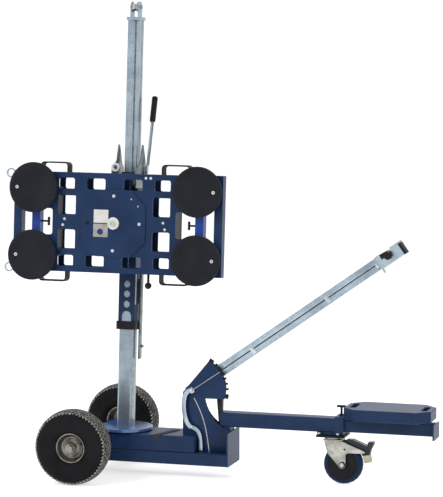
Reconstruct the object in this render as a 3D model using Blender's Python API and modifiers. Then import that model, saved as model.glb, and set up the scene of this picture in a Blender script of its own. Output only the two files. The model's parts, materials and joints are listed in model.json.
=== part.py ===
"""Suction cup lifter: a wheeled trolley with a leaning mast and a turning vacuum head."""
import math

import bmesh
import bpy
from mathutils import Matrix, Vector

# Driving dimensions, in metres
GAP = 0.0003
RUNNING_GAP = 0.0006
FACETS = 24

# Wheels and axle
WHEEL_RADIUS = 0.150
TYRE_WIDTH = 0.100
BEAD_RADIUS = 0.0565
TRACK = 0.627
AXLE_X = -0.116
AXLE_RADIUS = 0.009
AXLE_BEAM = 0.060
AXLE_BEAM_LENGTH = 0.470
HUB_LENGTH = 0.090
HUB_RADIUS = 0.0215

# Chassis
CHASSIS_WIDTH = 0.170
RAIL_SIZE = 0.050
RAIL_WALL = 0.003
RAIL_BOTTOM = 0.054
RAIL_LEFT = -0.150
RAIL_RIGHT = 0.447
DECK_RIGHT = 0.313
DECK_HEIGHT = 0.066
DECK_WALL = 0.004
END_PLATE_HEIGHT = 0.136
PLATE_STEEL = 0.006

# Boom, ballast carrier and counterweight
BOOM_WIDTH = 0.060
BOOM_HEIGHT = 0.058
BOOM_WALL = 0.0035
BOOM_LEFT = 0.405
BOOM_RIGHT = 0.8777
BOOM_BOTTOM = 0.2063
COLLAR_LENGTH = 0.034
COLLAR_SIDE_BAND = 0.008
COLLAR_TOP_BAND = 0.008
COLLAR_LOW_BAND = 0.009
CARRIER_INSERT = 0.280
WEIGHT_LENGTH = 0.362
WEIGHT_WIDTH = 0.200
WEIGHT_THICKNESS = 0.046
WEIGHT_CORNER = 0.050
WEIGHT_SEAT = 0.0085
WEIGHT_END = 0.012
GRIP_SLOT_LENGTH = 0.090
GRIP_SLOT_WIDTH = 0.024
GRIP_SLOT_EDGE = 0.020

# Caster
CASTER_RADIUS = 0.080
CASTER_WIDTH = 0.044
CASTER_TRAIL = 0.044
CASTER_PLATE_X = 0.8605
CASTER_PLATE_LENGTH = 0.116
CASTER_PLATE_WIDTH = 0.110

# Turntable and mast
TURNTABLE_RADIUS = 0.107
TURNTABLE_THICKNESS = 0.0104
BEARING_HEIGHT = 0.005
KINGPIN_RADIUS = 0.012
MAST_LEAN = math.radians(5.3)
MAST_SIZE = 0.060
MAST_WALL = 0.0035
MAST_TUBE_TOP = 0.700
PROFILE_SIZE = 0.0524
PROFILE_WALL = 0.0032
PROFILE_BOTTOM = 0.600
MAST_TOP = 1.628
SLOT_X = 0.008
SLOT_WIDTH = 0.008
CAP_THICKNESS = 0.013
SHEAVE_RADIUS = 0.021

# Carriage
SLEEVE_SIZE = 0.070
SLEEVE_WALL = 0.0037
SLEEVE_BOTTOM = 0.4223
SLEEVE_TOP = 1.020
BAND_SIZE = 0.082
BAND_HEIGHT = 0.033
PORT_RADIUS = 0.014
CHEEK_X = 0.0495
CHEEK_THICKNESS = 0.006
LEVER_X = 0.062
LEVER_TILT = math.radians(15)

# Vacuum head
HEAD_HEIGHT_ON_MAST = 0.818
PLATE_LENGTH = 0.512
PLATE_WING = 0.044
NOTCH_HEIGHT = 0.104
PLATE_HEIGHT = 0.394
HEAD_FRONT = -0.222
HEAD_DEPTH = 0.085
HUB_PLATE_SIZE = 0.264
PIVOT_RADIUS = 0.020
ARM_TUBE = 0.025
ARM_TUBE_HEIGHT = 0.1175
ARM_BAR_WIDTH = 0.034
ARM_BAR_DEPTH = 0.040
ARM_HEIGHT = 0.400
LEFT_CUP_REACH = 0.0715
RIGHT_CUP_REACH = 0.095
CUP_RADIUS = 0.100
CUP_HEIGHT = 0.134
PORT_OFFSET = 0.067
OUTER_BAR_OFFSET = 0.077
EYE_RADIUS = 0.0165
EYE_WIRE = 0.003

# Drawbar
PIVOT_X = 0.290
PIVOT_Z = 0.350
DRAWBAR_ANGLE = math.radians(35.3)
DRAWBAR_HEIGHT = 0.050
DRAWBAR_WIDTH = 0.040
DRAWBAR_LENGTH = 0.935
SECTOR_RADIUS = 0.142
TOOTH_HEIGHT = 0.006
TOOTH_COUNT = 9

# Levels and faces that follow from the driving dimensions
RAIL_TOP = RAIL_BOTTOM + RAIL_SIZE
DECK_TOP = RAIL_TOP + DECK_HEIGHT
BEAM_Z = RAIL_TOP + GAP + AXLE_BEAM / 2
DECK_LEFT = AXLE_X + AXLE_BEAM / 2 + GAP
DISC_TOP = DECK_TOP + BEARING_HEIGHT + TURNTABLE_THICKNESS + 2 * GAP
BOOM_Z = BOOM_BOTTOM + BOOM_HEIGHT / 2
CARRIER_WIDTH = BOOM_WIDTH - 2 * BOOM_WALL - 2 * RUNNING_GAP
CARRIER_HEIGHT = BOOM_HEIGHT - 2 * BOOM_WALL - 2 * RUNNING_GAP
WEIGHT_LEFT = BOOM_RIGHT + COLLAR_LENGTH + 0.004
WEIGHT_RIGHT = WEIGHT_LEFT + WEIGHT_LENGTH
WEIGHT_BOTTOM = BOOM_Z + CARRIER_HEIGHT / 2 + WEIGHT_SEAT + GAP
LEFT_CUP_X = -PLATE_LENGTH / 2 - LEFT_CUP_REACH
RIGHT_CUP_X = PLATE_LENGTH / 2 + RIGHT_CUP_REACH
LEFT_EYE_X = LEFT_CUP_X - OUTER_BAR_OFFSET - ARM_BAR_WIDTH / 2
LEFT_END = LEFT_EYE_X - 0.006 - 2 * EYE_RADIUS - EYE_WIRE
MIDDLE_X = (LEFT_END + WEIGHT_RIGHT) / 2
CUP_FACE = HEAD_FRONT - 0.040
PLATE_Y = BOOM_WIDTH / 2 + 0.0005 + PLATE_STEEL / 2

# Rotations that lay an outline in a plane
ALONG_Z = (0, 0, 0)
ALONG_Y = (math.pi / 2, 0, 0)
ALONG_X = (math.pi / 2, 0, math.pi / 2)


def clear_scene():
    for obj in list(bpy.data.objects):
        bpy.data.objects.remove(obj)


def new_collection(name):
    collection = bpy.data.collections.new(name)
    bpy.context.scene.collection.children.link(collection)
    return collection


def make_material(name, color, roughness, metallic=0.0):
    material = bpy.data.materials.new(name)
    material.use_nodes = True
    shader = material.node_tree.nodes["Principled BSDF"]
    shader.inputs["Base Color"].default_value = (*color, 1.0)
    shader.inputs["Roughness"].default_value = roughness
    shader.inputs["Metallic"].default_value = metallic
    return material


clear_scene()
PARTS = new_collection("suction_cup_lifter")
CUTTERS = new_collection("cutters")
NAVY = make_material("navy_powder_coat", (0.022, 0.045, 0.110), 0.45)
BRIGHT_BLUE = make_material("bright_blue_powder_coat", (0.020, 0.070, 0.320), 0.40)
ZINC = make_material("zinc_plate", (0.42, 0.50, 0.56), 0.35, 0.9)
WARM_ZINC = make_material("warm_zinc_plate", (0.52, 0.50, 0.45), 0.35, 0.9)
STEEL = make_material("bright_steel", (0.60, 0.60, 0.60), 0.30, 1.0)
RIM_STEEL = make_material("rim_steel", (0.42, 0.40, 0.34), 0.40, 0.8)
RUBBER = make_material("black_rubber", (0.020, 0.021, 0.023), 0.70)
CUP_RUBBER = make_material("charcoal_cup_rubber", (0.028, 0.030, 0.036), 0.80)
PLASTIC = make_material("black_plastic", (0.015, 0.016, 0.020), 0.40)


def empty(name, parent, location=(0, 0, 0), rotation=(0, 0, 0)):
    obj = bpy.data.objects.new(name, None)
    PARTS.objects.link(obj)
    obj.parent = parent
    obj.location = location
    obj.rotation_euler = rotation
    return obj


def put(obj, material, parent, location, rotation=(0, 0, 0)):
    """Links an object to the parts, under its parent, with its own material."""
    PARTS.objects.link(obj)
    obj.data.materials.append(material)
    obj.parent = parent
    obj.location = location
    obj.rotation_euler = rotation
    return obj


def bevel(obj, width, segments=2, angle=40):
    modifier = obj.modifiers.new("edge", "BEVEL")
    modifier.width = width
    modifier.segments = segments
    modifier.limit_method = "ANGLE"
    modifier.angle_limit = math.radians(angle)
    return obj


def mesh_object(name, bm, smooth=False):
    bmesh.ops.recalc_face_normals(bm, faces=bm.faces)
    mesh = bpy.data.meshes.new(name)
    bm.to_mesh(mesh)
    bm.free()
    if smooth:
        mesh.shade_smooth()
        mesh.set_sharp_from_angle(angle=math.radians(35))
    return bpy.data.objects.new(name, mesh)


def box(name, size, material, parent, location, rotation=(0, 0, 0), round_edge=0.0):
    bm = bmesh.new()
    bmesh.ops.create_cube(bm, size=1.0)
    bmesh.ops.scale(bm, vec=size, verts=bm.verts)
    obj = put(mesh_object(name, bm), material, parent, location, rotation)
    if round_edge:
        bevel(obj, round_edge)
    return obj


def cylinders(name, pieces, material, parent, location=(0, 0, 0), rotation=(0, 0, 0), facets=FACETS):
    """One object of separate round bars: each piece is (centre, radius, length, direction)."""
    bm = bmesh.new()
    for centre, radius, length, direction in pieces:
        turn = Vector((0, 0, 1)).rotation_difference(Vector(direction)).to_matrix().to_4x4()
        matrix = Matrix.Translation(centre) @ turn
        bmesh.ops.create_cone(
            bm,
            cap_ends=True,
            segments=facets,
            radius1=radius,
            radius2=radius,
            depth=length,
            matrix=matrix,
        )
    return put(mesh_object(name, bm, smooth=True), material, parent, location, rotation)


def outline_object(name, outlines, thickness):
    """A flat plate from closed outlines: an outline inside another one is a hole."""
    curve = bpy.data.curves.new(name, "CURVE")
    curve.dimensions = "2D"
    curve.fill_mode = "BOTH"
    curve.extrude = thickness / 2
    for outline in outlines:
        spline = curve.splines.new("POLY")
        spline.points.add(len(outline) - 1)
        for point, (x, y) in zip(spline.points, outline):
            point.co = (x, y, 0, 1)
        spline.use_cyclic_u = True
    return bpy.data.objects.new(name, curve)


def as_mesh(obj):
    """Turns a plate made from curves into a closed mesh object."""
    bpy.context.scene.collection.objects.link(obj)
    graph = bpy.context.evaluated_depsgraph_get()
    mesh = bpy.data.meshes.new_from_object(obj.evaluated_get(graph))
    name = obj.name
    bpy.data.objects.remove(obj)
    bm = bmesh.new()
    bm.from_mesh(mesh)
    bmesh.ops.remove_doubles(bm, verts=bm.verts, dist=0.00001)
    bmesh.ops.dissolve_degenerate(bm, dist=0.000001, edges=bm.edges)
    return mesh_object(name, bm)


def plate(name, outlines, thickness, material, parent, location, rotation=ALONG_Y):
    obj = as_mesh(outline_object(name, outlines, thickness))
    return put(obj, material, parent, location, rotation)


def chamfered_slab(name, loops, thickness, chamfer, material, parent, location):
    """A thick plate with chamfered edges: each loop is its full outline and the one at the faces."""
    bm = bmesh.new()
    half = thickness / 2
    caps = ([], [])
    for full, drawn_in in loops:
        levels = ((drawn_in, -half), (full, chamfer - half), (full, half - chamfer), (drawn_in, half))
        rows = []
        for outline, height in levels:
            rows.append([bm.verts.new((x, y, height)) for x, y in outline])
        for low, high in zip(rows, rows[1:]):
            for index in range(len(low)):
                after = (index + 1) % len(low)
                bm.faces.new((low[index], low[after], high[after], high[index]))
        for cap, row in zip(caps, (rows[0], rows[-1])):
            for index in range(len(row)):
                cap.append(bm.edges.get((row[index], row[(index + 1) % len(row)])))
    for cap in caps:
        bmesh.ops.triangle_fill(bm, use_beauty=True, edges=cap)
    return put(mesh_object(name, bm), material, parent, location, ALONG_Z)


def turned(name, profile, material, parent, location, rotation=ALONG_Z, steps=FACETS, closed=False):
    """A solid of revolution about its own Z: the profile is (radius, height) down the outer side."""
    bm = bmesh.new()
    verts = [bm.verts.new((radius, 0, height)) for radius, height in profile]
    for first, second in zip(verts, verts[1:]):
        bm.edges.new((first, second))
    if closed:
        bm.edges.new((verts[-1], verts[0]))
    mesh = bpy.data.meshes.new(name)
    bm.to_mesh(mesh)
    bm.free()
    obj = put(bpy.data.objects.new(name, mesh), material, parent, location, rotation)
    screw = obj.modifiers.new("turn", "SCREW")
    screw.steps = steps
    screw.render_steps = steps
    screw.use_merge_vertices = True
    screw.merge_threshold = 0.0001
    screw.use_smooth_shade = True
    return obj


def rod(name, paths, radius, material, parent, location=(0, 0, 0), rotation=(0, 0, 0), sides=2):
    """Round wires or bars that follow lists of points."""
    curve = bpy.data.curves.new(name, "CURVE")
    curve.dimensions = "3D"
    curve.bevel_depth = radius
    curve.bevel_resolution = sides
    curve.use_fill_caps = True
    for points in paths:
        spline = curve.splines.new("POLY")
        spline.points.add(len(points) - 1)
        for point, place in zip(spline.points, points):
            point.co = (*place, 1)
    return put(bpy.data.objects.new(name, curve), material, parent, location, rotation)


def hide_in_cutters(obj):
    for collection in list(obj.users_collection):
        collection.objects.unlink(obj)
    CUTTERS.objects.link(obj)
    obj.hide_render = True
    obj.display_type = "WIRE"


def boolean(obj, other, operation):
    hide_in_cutters(other)
    modifier = obj.modifiers.new(operation.lower(), "BOOLEAN")
    modifier.operation = operation
    modifier.object = other
    modifier.solver = "EXACT"
    return obj


def cut(obj, other):
    return boolean(obj, other, "DIFFERENCE")


def join(obj, other):
    return boolean(obj, other, "UNION")


def rectangle(width, height, radius=0.0, centre=(0, 0), steps=2):
    """A rectangle outline round its centre, with corner arcs where a radius is given."""
    half = (width / 2, height / 2)
    if not radius:
        corners = ((1, 1), (-1, 1), (-1, -1), (1, -1))
        return [(centre[0] + x * half[0], centre[1] + y * half[1]) for x, y in corners]
    points = []
    for quarter, (x, y) in enumerate(((1, 1), (-1, 1), (-1, -1), (1, -1))):
        corner = (centre[0] + x * (half[0] - radius), centre[1] + y * (half[1] - radius))
        points += arc(corner, radius, 90 * quarter, 90 * quarter + 90, steps)
    return points


def eight_sided(half_width, half_height, corner):
    """A rectangle outline with its corners cut off."""
    near = (half_width - corner, half_height - corner)
    quarter = [(half_width, near[1]), (near[0], half_height)]
    left = [(-x, y) for x, y in reversed(quarter)]
    return quarter + left + [(-x, -y) for x, y in quarter + left]


def arc(centre, radius, start, end, steps):
    """Points on an arc, with the angles in degrees."""
    points = []
    for step in range(steps + 1):
        angle = math.radians(start + (end - start) * step / steps)
        points.append((centre[0] + radius * math.cos(angle), centre[1] + radius * math.sin(angle)))
    return points


def circle(centre, radius, steps=24):
    return arc(centre, radius, 0, 360, steps)[:-1]


def arc_through(first, middle, last, steps):
    """Points on the arc that runs through three given points."""
    a = Vector(first)
    b = Vector(middle)
    c = Vector(last)
    d = 2 * (a.x * (b.y - c.y) + b.x * (c.y - a.y) + c.x * (a.y - b.y))
    squares = (a.length_squared, b.length_squared, c.length_squared)
    x = (squares[0] * (b.y - c.y) + squares[1] * (c.y - a.y) + squares[2] * (a.y - b.y)) / d
    y = (squares[0] * (c.x - b.x) + squares[1] * (a.x - c.x) + squares[2] * (b.x - a.x)) / d
    centre = Vector((x, y))
    start = math.atan2(a.y - y, a.x - x)
    end = math.atan2(c.y - y, c.x - x)
    through = math.atan2(b.y - y, b.x - x)
    if not min(start, end) <= through <= max(start, end):
        end += math.tau if end < start else -math.tau
    radius = (a - centre).length
    return arc(centre, radius, math.degrees(start), math.degrees(end), steps)


def band(path, width, end_steps=6):
    """The outline of a strip of even width along a path, with round ends."""
    points = [Vector(point) for point in path]
    sides = []
    for index, point in enumerate(points):
        before = points[max(index - 1, 0)]
        after = points[min(index + 1, len(points) - 1)]
        direction = (after - before).normalized()
        sides.append((point, Vector((-direction.y, direction.x))))
    left = [tuple(point + normal * width / 2) for point, normal in sides]
    right = [tuple(point - normal * width / 2) for point, normal in sides]
    ends = []
    for point, normal, turn in ((*sides[-1], 1), (*sides[0], -1)):
        start = math.degrees(math.atan2(normal.y, normal.x)) + (0 if turn == 1 else 180)
        ends.append(arc(point, width / 2, start, start - 180, end_steps)[1:-1])
    return left + ends[0] + right[::-1] + ends[1]


ROOT = empty("lifter_frame", None, (-MIDDLE_X, 0, 0))
SWIVEL = empty("mast_swivel", ROOT, (0, 0, DISC_TOP))
MAST = empty("mast_frame", SWIVEL, (0, 0, 0), (-MAST_LEAN, 0, 0))
CARRIAGE = empty("carriage_frame", MAST, (0, 0, HEAD_HEIGHT_ON_MAST))
HEAD = empty("head_frame", CARRIAGE)
ARM_LEFT = empty("arm_left_frame", HEAD, (LEFT_CUP_X, 0, 0))
ARM_RIGHT = empty("arm_right_frame", HEAD, (RIGHT_CUP_X, 0, 0))
DRAWBAR = empty("drawbar_frame", ROOT, (PIVOT_X, 0, PIVOT_Z), (0, -DRAWBAR_ANGLE, 0))


def chassis():
    length = RAIL_RIGHT - RAIL_LEFT
    middle = (RAIL_RIGHT + RAIL_LEFT) / 2
    section = [
        rectangle(RAIL_SIZE, RAIL_SIZE, 0.005),
        rectangle(RAIL_SIZE - 2 * RAIL_WALL, RAIL_SIZE - 2 * RAIL_WALL, 0.003),
    ]
    rail_y = CHASSIS_WIDTH / 2 - RAIL_SIZE / 2
    rail_z = RAIL_BOTTOM + RAIL_SIZE / 2
    frame = plate("chassis_frame", section, length, NAVY, ROOT, (middle, -rail_y, rail_z), ALONG_X)
    join(frame, plate("far_rail", section, length, NAVY, ROOT, (middle, rail_y, rail_z), ALONG_X))
    cross_length = CHASSIS_WIDTH - 2 * RAIL_SIZE + 0.002
    cross = [rectangle(0.040, 0.040, 0.004)]
    for x in (RAIL_LEFT + 0.030, RAIL_RIGHT - 0.140):
        join(frame, plate("cross_tube", cross, cross_length, NAVY, ROOT, (x, 0, rail_z), ALONG_Y))
    deck_length = DECK_RIGHT - DECK_LEFT
    deck_middle = (DECK_RIGHT + DECK_LEFT) / 2
    deck = box(
        "deck_cover",
        (deck_length, CHASSIS_WIDTH, DECK_HEIGHT - GAP),
        NAVY,
        ROOT,
        (deck_middle, 0, DECK_TOP - (DECK_HEIGHT - GAP) / 2),
        round_edge=0.006,
    )
    hollow = box(
        "deck_hollow",
        (deck_length - 2 * DECK_WALL, CHASSIS_WIDTH - 2 * DECK_WALL, DECK_HEIGHT),
        NAVY,
        ROOT,
        (deck_middle, 0, DECK_TOP - DECK_WALL - DECK_HEIGHT / 2),
    )
    cut(deck, hollow)
    hole = [((0, 0, DECK_TOP), KINGPIN_RADIUS + GAP, 0.04, (0, 0, 1))]
    cut(deck, cylinders("deck_pin_hole", hole, NAVY, ROOT))
    end_plate = plate(
        "end_plate",
        [rectangle(CHASSIS_WIDTH - 0.001, END_PLATE_HEIGHT, 0.004, steps=2)],
        PLATE_STEEL,
        NAVY,
        ROOT,
        (RAIL_RIGHT + PLATE_STEEL / 2 - 0.001, 0, RAIL_BOTTOM - 0.0005 + END_PLATE_HEIGHT / 2),
        ALONG_X,
    )
    join(frame, end_plate)
    block_height = BOOM_BOTTOM - RAIL_TOP - GAP + 0.015
    block_length = RAIL_RIGHT - 0.362
    block = box(
        "boom_block",
        (block_length, BOOM_WIDTH - 0.002, block_height),
        NAVY,
        ROOT,
        (RAIL_RIGHT - block_length / 2 - 0.0005, 0, BOOM_BOTTOM - GAP - block_height / 2),
    )
    join(frame, block)
    tie = box(
        "block_tie",
        (block_length - 0.004, CHASSIS_WIDTH - 2 * RAIL_SIZE + 0.002, 0.020),
        NAVY,
        ROOT,
        (RAIL_RIGHT - block_length / 2, 0, RAIL_TOP - 0.018),
    )
    join(frame, tie)


def axle():
    section = [
        rectangle(AXLE_BEAM, AXLE_BEAM, 0.005),
        rectangle(AXLE_BEAM - 0.008, AXLE_BEAM - 0.008, 0.003),
    ]
    beam = plate("axle_beam", section, AXLE_BEAM_LENGTH, NAVY, ROOT, (AXLE_X, 0, BEAM_Z), ALONG_Y)
    plug = AXLE_BEAM - 0.006
    for side in (-1, 1):
        location = (AXLE_X, side * (AXLE_BEAM_LENGTH / 2 - 0.011), BEAM_Z)
        join(beam, box("axle_plug", (plug, 0.020, plug), NAVY, ROOT, location))
    hub_inner = TRACK / 2 - HUB_LENGTH / 2
    hub_outer = TRACK / 2 + HUB_LENGTH / 2
    shaft = [((AXLE_X, 0, WHEEL_RADIUS), AXLE_RADIUS, 2 * hub_outer + 0.024, (0, 1, 0))]
    shaft_object = cylinders("axle_shaft", shaft, STEEL, ROOT, facets=24)
    boss = hub_inner - AXLE_BEAM_LENGTH / 2 - GAP + 0.010
    nut_length = 0.011
    nut_y = hub_outer + GAP + nut_length / 2
    for side in (-1, 1):
        middle = (AXLE_X, side * (hub_inner - GAP - boss / 2), WHEEL_RADIUS)
        join(beam, cylinders("axle_boss", [(middle, 0.014, boss, (0, 1, 0))], NAVY, ROOT, facets=24))
        nut = [((AXLE_X, side * nut_y, WHEEL_RADIUS), 0.0165, nut_length, (0, 1, 0))]
        join(shaft_object, cylinders("axle_nut", nut, STEEL, ROOT, facets=6))
    bore = [((AXLE_X, 0, WHEEL_RADIUS), AXLE_RADIUS + GAP, 2 * hub_inner + 0.02, (0, 1, 0))]
    cut(beam, cylinders("axle_bore", bore, NAVY, ROOT, facets=24))


def wheel(side_name, side):
    """A block tyre on a dished rim, with a turned hub that runs on the axle."""
    frame = empty("wheel_frame_" + side_name, ROOT, (AXLE_X, side * TRACK / 2, WHEEL_RADIUS), ALONG_Y)
    half = TYRE_WIDTH / 2
    crown = [
        (WHEEL_RADIUS - 0.030, half),
        (WHEEL_RADIUS - 0.008, half - 0.009),
        (WHEEL_RADIUS, half - 0.026),
    ]
    bead = [(BEAD_RADIUS + 0.003, half - 0.017), (BEAD_RADIUS + 0.020, half - 0.005)]
    outer = bead + crown
    profile = outer + [(radius, -width) for radius, width in reversed(outer)]
    profile += [(BEAD_RADIUS, -(half - 0.021)), (BEAD_RADIUS, half - 0.021)]
    turned("tyre_" + side_name, profile, RUBBER, frame, (0, 0, 0), closed=True)
    drum = BEAD_RADIUS - GAP
    lip = half - 0.0165
    wall = 0.0035
    dish = -side * 0.012
    rim = [
        (BEAD_RADIUS + 0.003, lip + 0.0025),
        (BEAD_RADIUS + 0.003, lip),
        (drum, lip - 0.004),
        (drum, -lip + 0.004),
        (BEAD_RADIUS + 0.003, -lip),
        (BEAD_RADIUS + 0.003, -lip - 0.0025),
        (drum - wall, -lip + 0.001),
        (drum - wall, dish - 0.003),
        (HUB_RADIUS - 0.004, dish + side * 0.006 - 0.003),
        (HUB_RADIUS - 0.004, dish + side * 0.006 + 0.003),
        (drum - wall, dish + 0.003),
        (drum - wall, lip - 0.001),
    ]
    rim_object = turned("rim_" + side_name, rim, RIM_STEEL, frame, (0, 0, 0), closed=True)
    bore = AXLE_RADIUS + RUNNING_GAP
    end = HUB_LENGTH / 2 - GAP
    hub = [
        (HUB_RADIUS - 0.003, end),
        (HUB_RADIUS, end - 0.003),
        (HUB_RADIUS, -end + 0.003),
        (HUB_RADIUS - 0.003, -end),
        (bore, -end),
        (bore, end),
    ]
    join(rim_object, turned("wheel_hub", hub, RIM_STEEL, frame, (0, 0, 0), steps=16, closed=True))


def boom():
    section = [
        rectangle(BOOM_WIDTH, BOOM_HEIGHT, 0.006),
        rectangle(BOOM_WIDTH - 2 * BOOM_WALL, BOOM_HEIGHT - 2 * BOOM_WALL, 0.003),
    ]
    length = BOOM_RIGHT - BOOM_LEFT
    tube = plate("boom_tube", section, length, NAVY, ROOT, (BOOM_LEFT + length / 2, 0, BOOM_Z), ALONG_X)
    collar_width = BOOM_WIDTH + 2 * COLLAR_SIDE_BAND
    collar_height = BOOM_HEIGHT + COLLAR_TOP_BAND + COLLAR_LOW_BAND
    raised = (COLLAR_TOP_BAND - COLLAR_LOW_BAND) / 2
    outer = [
        rectangle(collar_width, collar_height, 0.006, (0, raised)),
        rectangle(CARRIER_WIDTH + 2 * RUNNING_GAP, CARRIER_HEIGHT + 2 * RUNNING_GAP, 0.003),
    ]
    collar_x = BOOM_RIGHT + COLLAR_LENGTH / 2
    location = (collar_x - 0.001, 0, BOOM_Z)
    join(tube, plate("boom_collar", outer, COLLAR_LENGTH + 0.002, NAVY, ROOT, location, ALONG_X))
    stem_radius = 0.0045
    pad_left = CASTER_PLATE_X - CASTER_PLATE_LENGTH / 2
    pad_length = BOOM_RIGHT - pad_left
    pad = (pad_length, BOOM_WIDTH - 0.002, COLLAR_LOW_BAND + 0.001)
    location = (pad_left + pad_length / 2, 0, BOOM_BOTTOM - COLLAR_LOW_BAND + pad[2] / 2)
    join(tube, box("caster_pad", pad, NAVY, ROOT, location))
    collar_top = BOOM_Z + BOOM_HEIGHT / 2 + COLLAR_TOP_BAND
    nut = [((collar_x, 0, collar_top + 0.003), 0.0095, 0.008, (0, 0, 1))]
    join(tube, cylinders("lock_nut", nut, NAVY, ROOT, facets=6))
    bore = [((collar_x, 0, collar_top), stem_radius + GAP, 0.036, (0, 0, 1))]
    cut(tube, cylinders("collar_bore", bore, NAVY, ROOT, facets=20))
    lock = empty("boom_lock_frame", ROOT, (collar_x, 0, collar_top))
    stem = [((0, 0, 0.0135), stem_radius, 0.047, (0, 0, 1))]
    handle = cylinders("boom_lock_pin", stem, PLASTIC, lock, facets=20)
    join(handle, cylinders("lock_bar", [((0, 0, 0.037), 0.005, 0.036, (1, 0, 0))], PLASTIC, lock))


def ballast():
    left = BOOM_RIGHT - CARRIER_INSERT
    length = WEIGHT_RIGHT + 0.001 - PLATE_STEEL - left
    section = [
        rectangle(CARRIER_WIDTH, CARRIER_HEIGHT, 0.004),
        rectangle(CARRIER_WIDTH - 0.006, CARRIER_HEIGHT - 0.006, 0.002),
    ]
    carrier = plate("ballast_carrier", section, length, NAVY, ROOT, (left + length / 2, 0, BOOM_Z), ALONG_X)
    end_height = CARRIER_HEIGHT + 0.012
    end_plate = plate(
        "carrier_end_plate",
        [rectangle(0.100, end_height, 0.004, steps=2)],
        PLATE_STEEL,
        NAVY,
        ROOT,
        (left + length - 0.001 + PLATE_STEEL / 2, 0, BOOM_Z + (CARRIER_HEIGHT - end_height) / 2),
        ALONG_X,
    )
    join(carrier, end_plate)
    half_length = (WEIGHT_LENGTH - WEIGHT_END) / 2
    seat = (2 * half_length - 0.120, CARRIER_WIDTH - 0.004, WEIGHT_SEAT + 0.001)
    seat_z = WEIGHT_BOTTOM - GAP - seat[2] / 2
    join(carrier, box("weight_seat", seat, NAVY, ROOT, (WEIGHT_LEFT + half_length, 0, seat_z)))
    half_width = WEIGHT_WIDTH / 2
    edge = 0.003
    full = eight_sided(half_length, half_width, WEIGHT_CORNER)
    drawn_in = eight_sided(half_length - edge, half_width - edge, WEIGHT_CORNER - 0.586 * edge)
    loops = [(full, drawn_in)]
    slot_x = half_length - GRIP_SLOT_EDGE - GRIP_SLOT_WIDTH / 2
    grip_corner = 0.010
    mouth_corner = grip_corner + edge
    for x in (-slot_x, slot_x):
        slot = rectangle(GRIP_SLOT_WIDTH, GRIP_SLOT_LENGTH, grip_corner, (x, 0))
        mouth = rectangle(GRIP_SLOT_WIDTH + 2 * edge, GRIP_SLOT_LENGTH + 2 * edge, mouth_corner, (x, 0))
        loops.append((slot, mouth))
    middle = (WEIGHT_LEFT + half_length, 0, WEIGHT_BOTTOM + WEIGHT_THICKNESS / 2)
    chamfered_slab("counterweight", loops, WEIGHT_THICKNESS, edge, NAVY, ROOT, middle)


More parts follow.
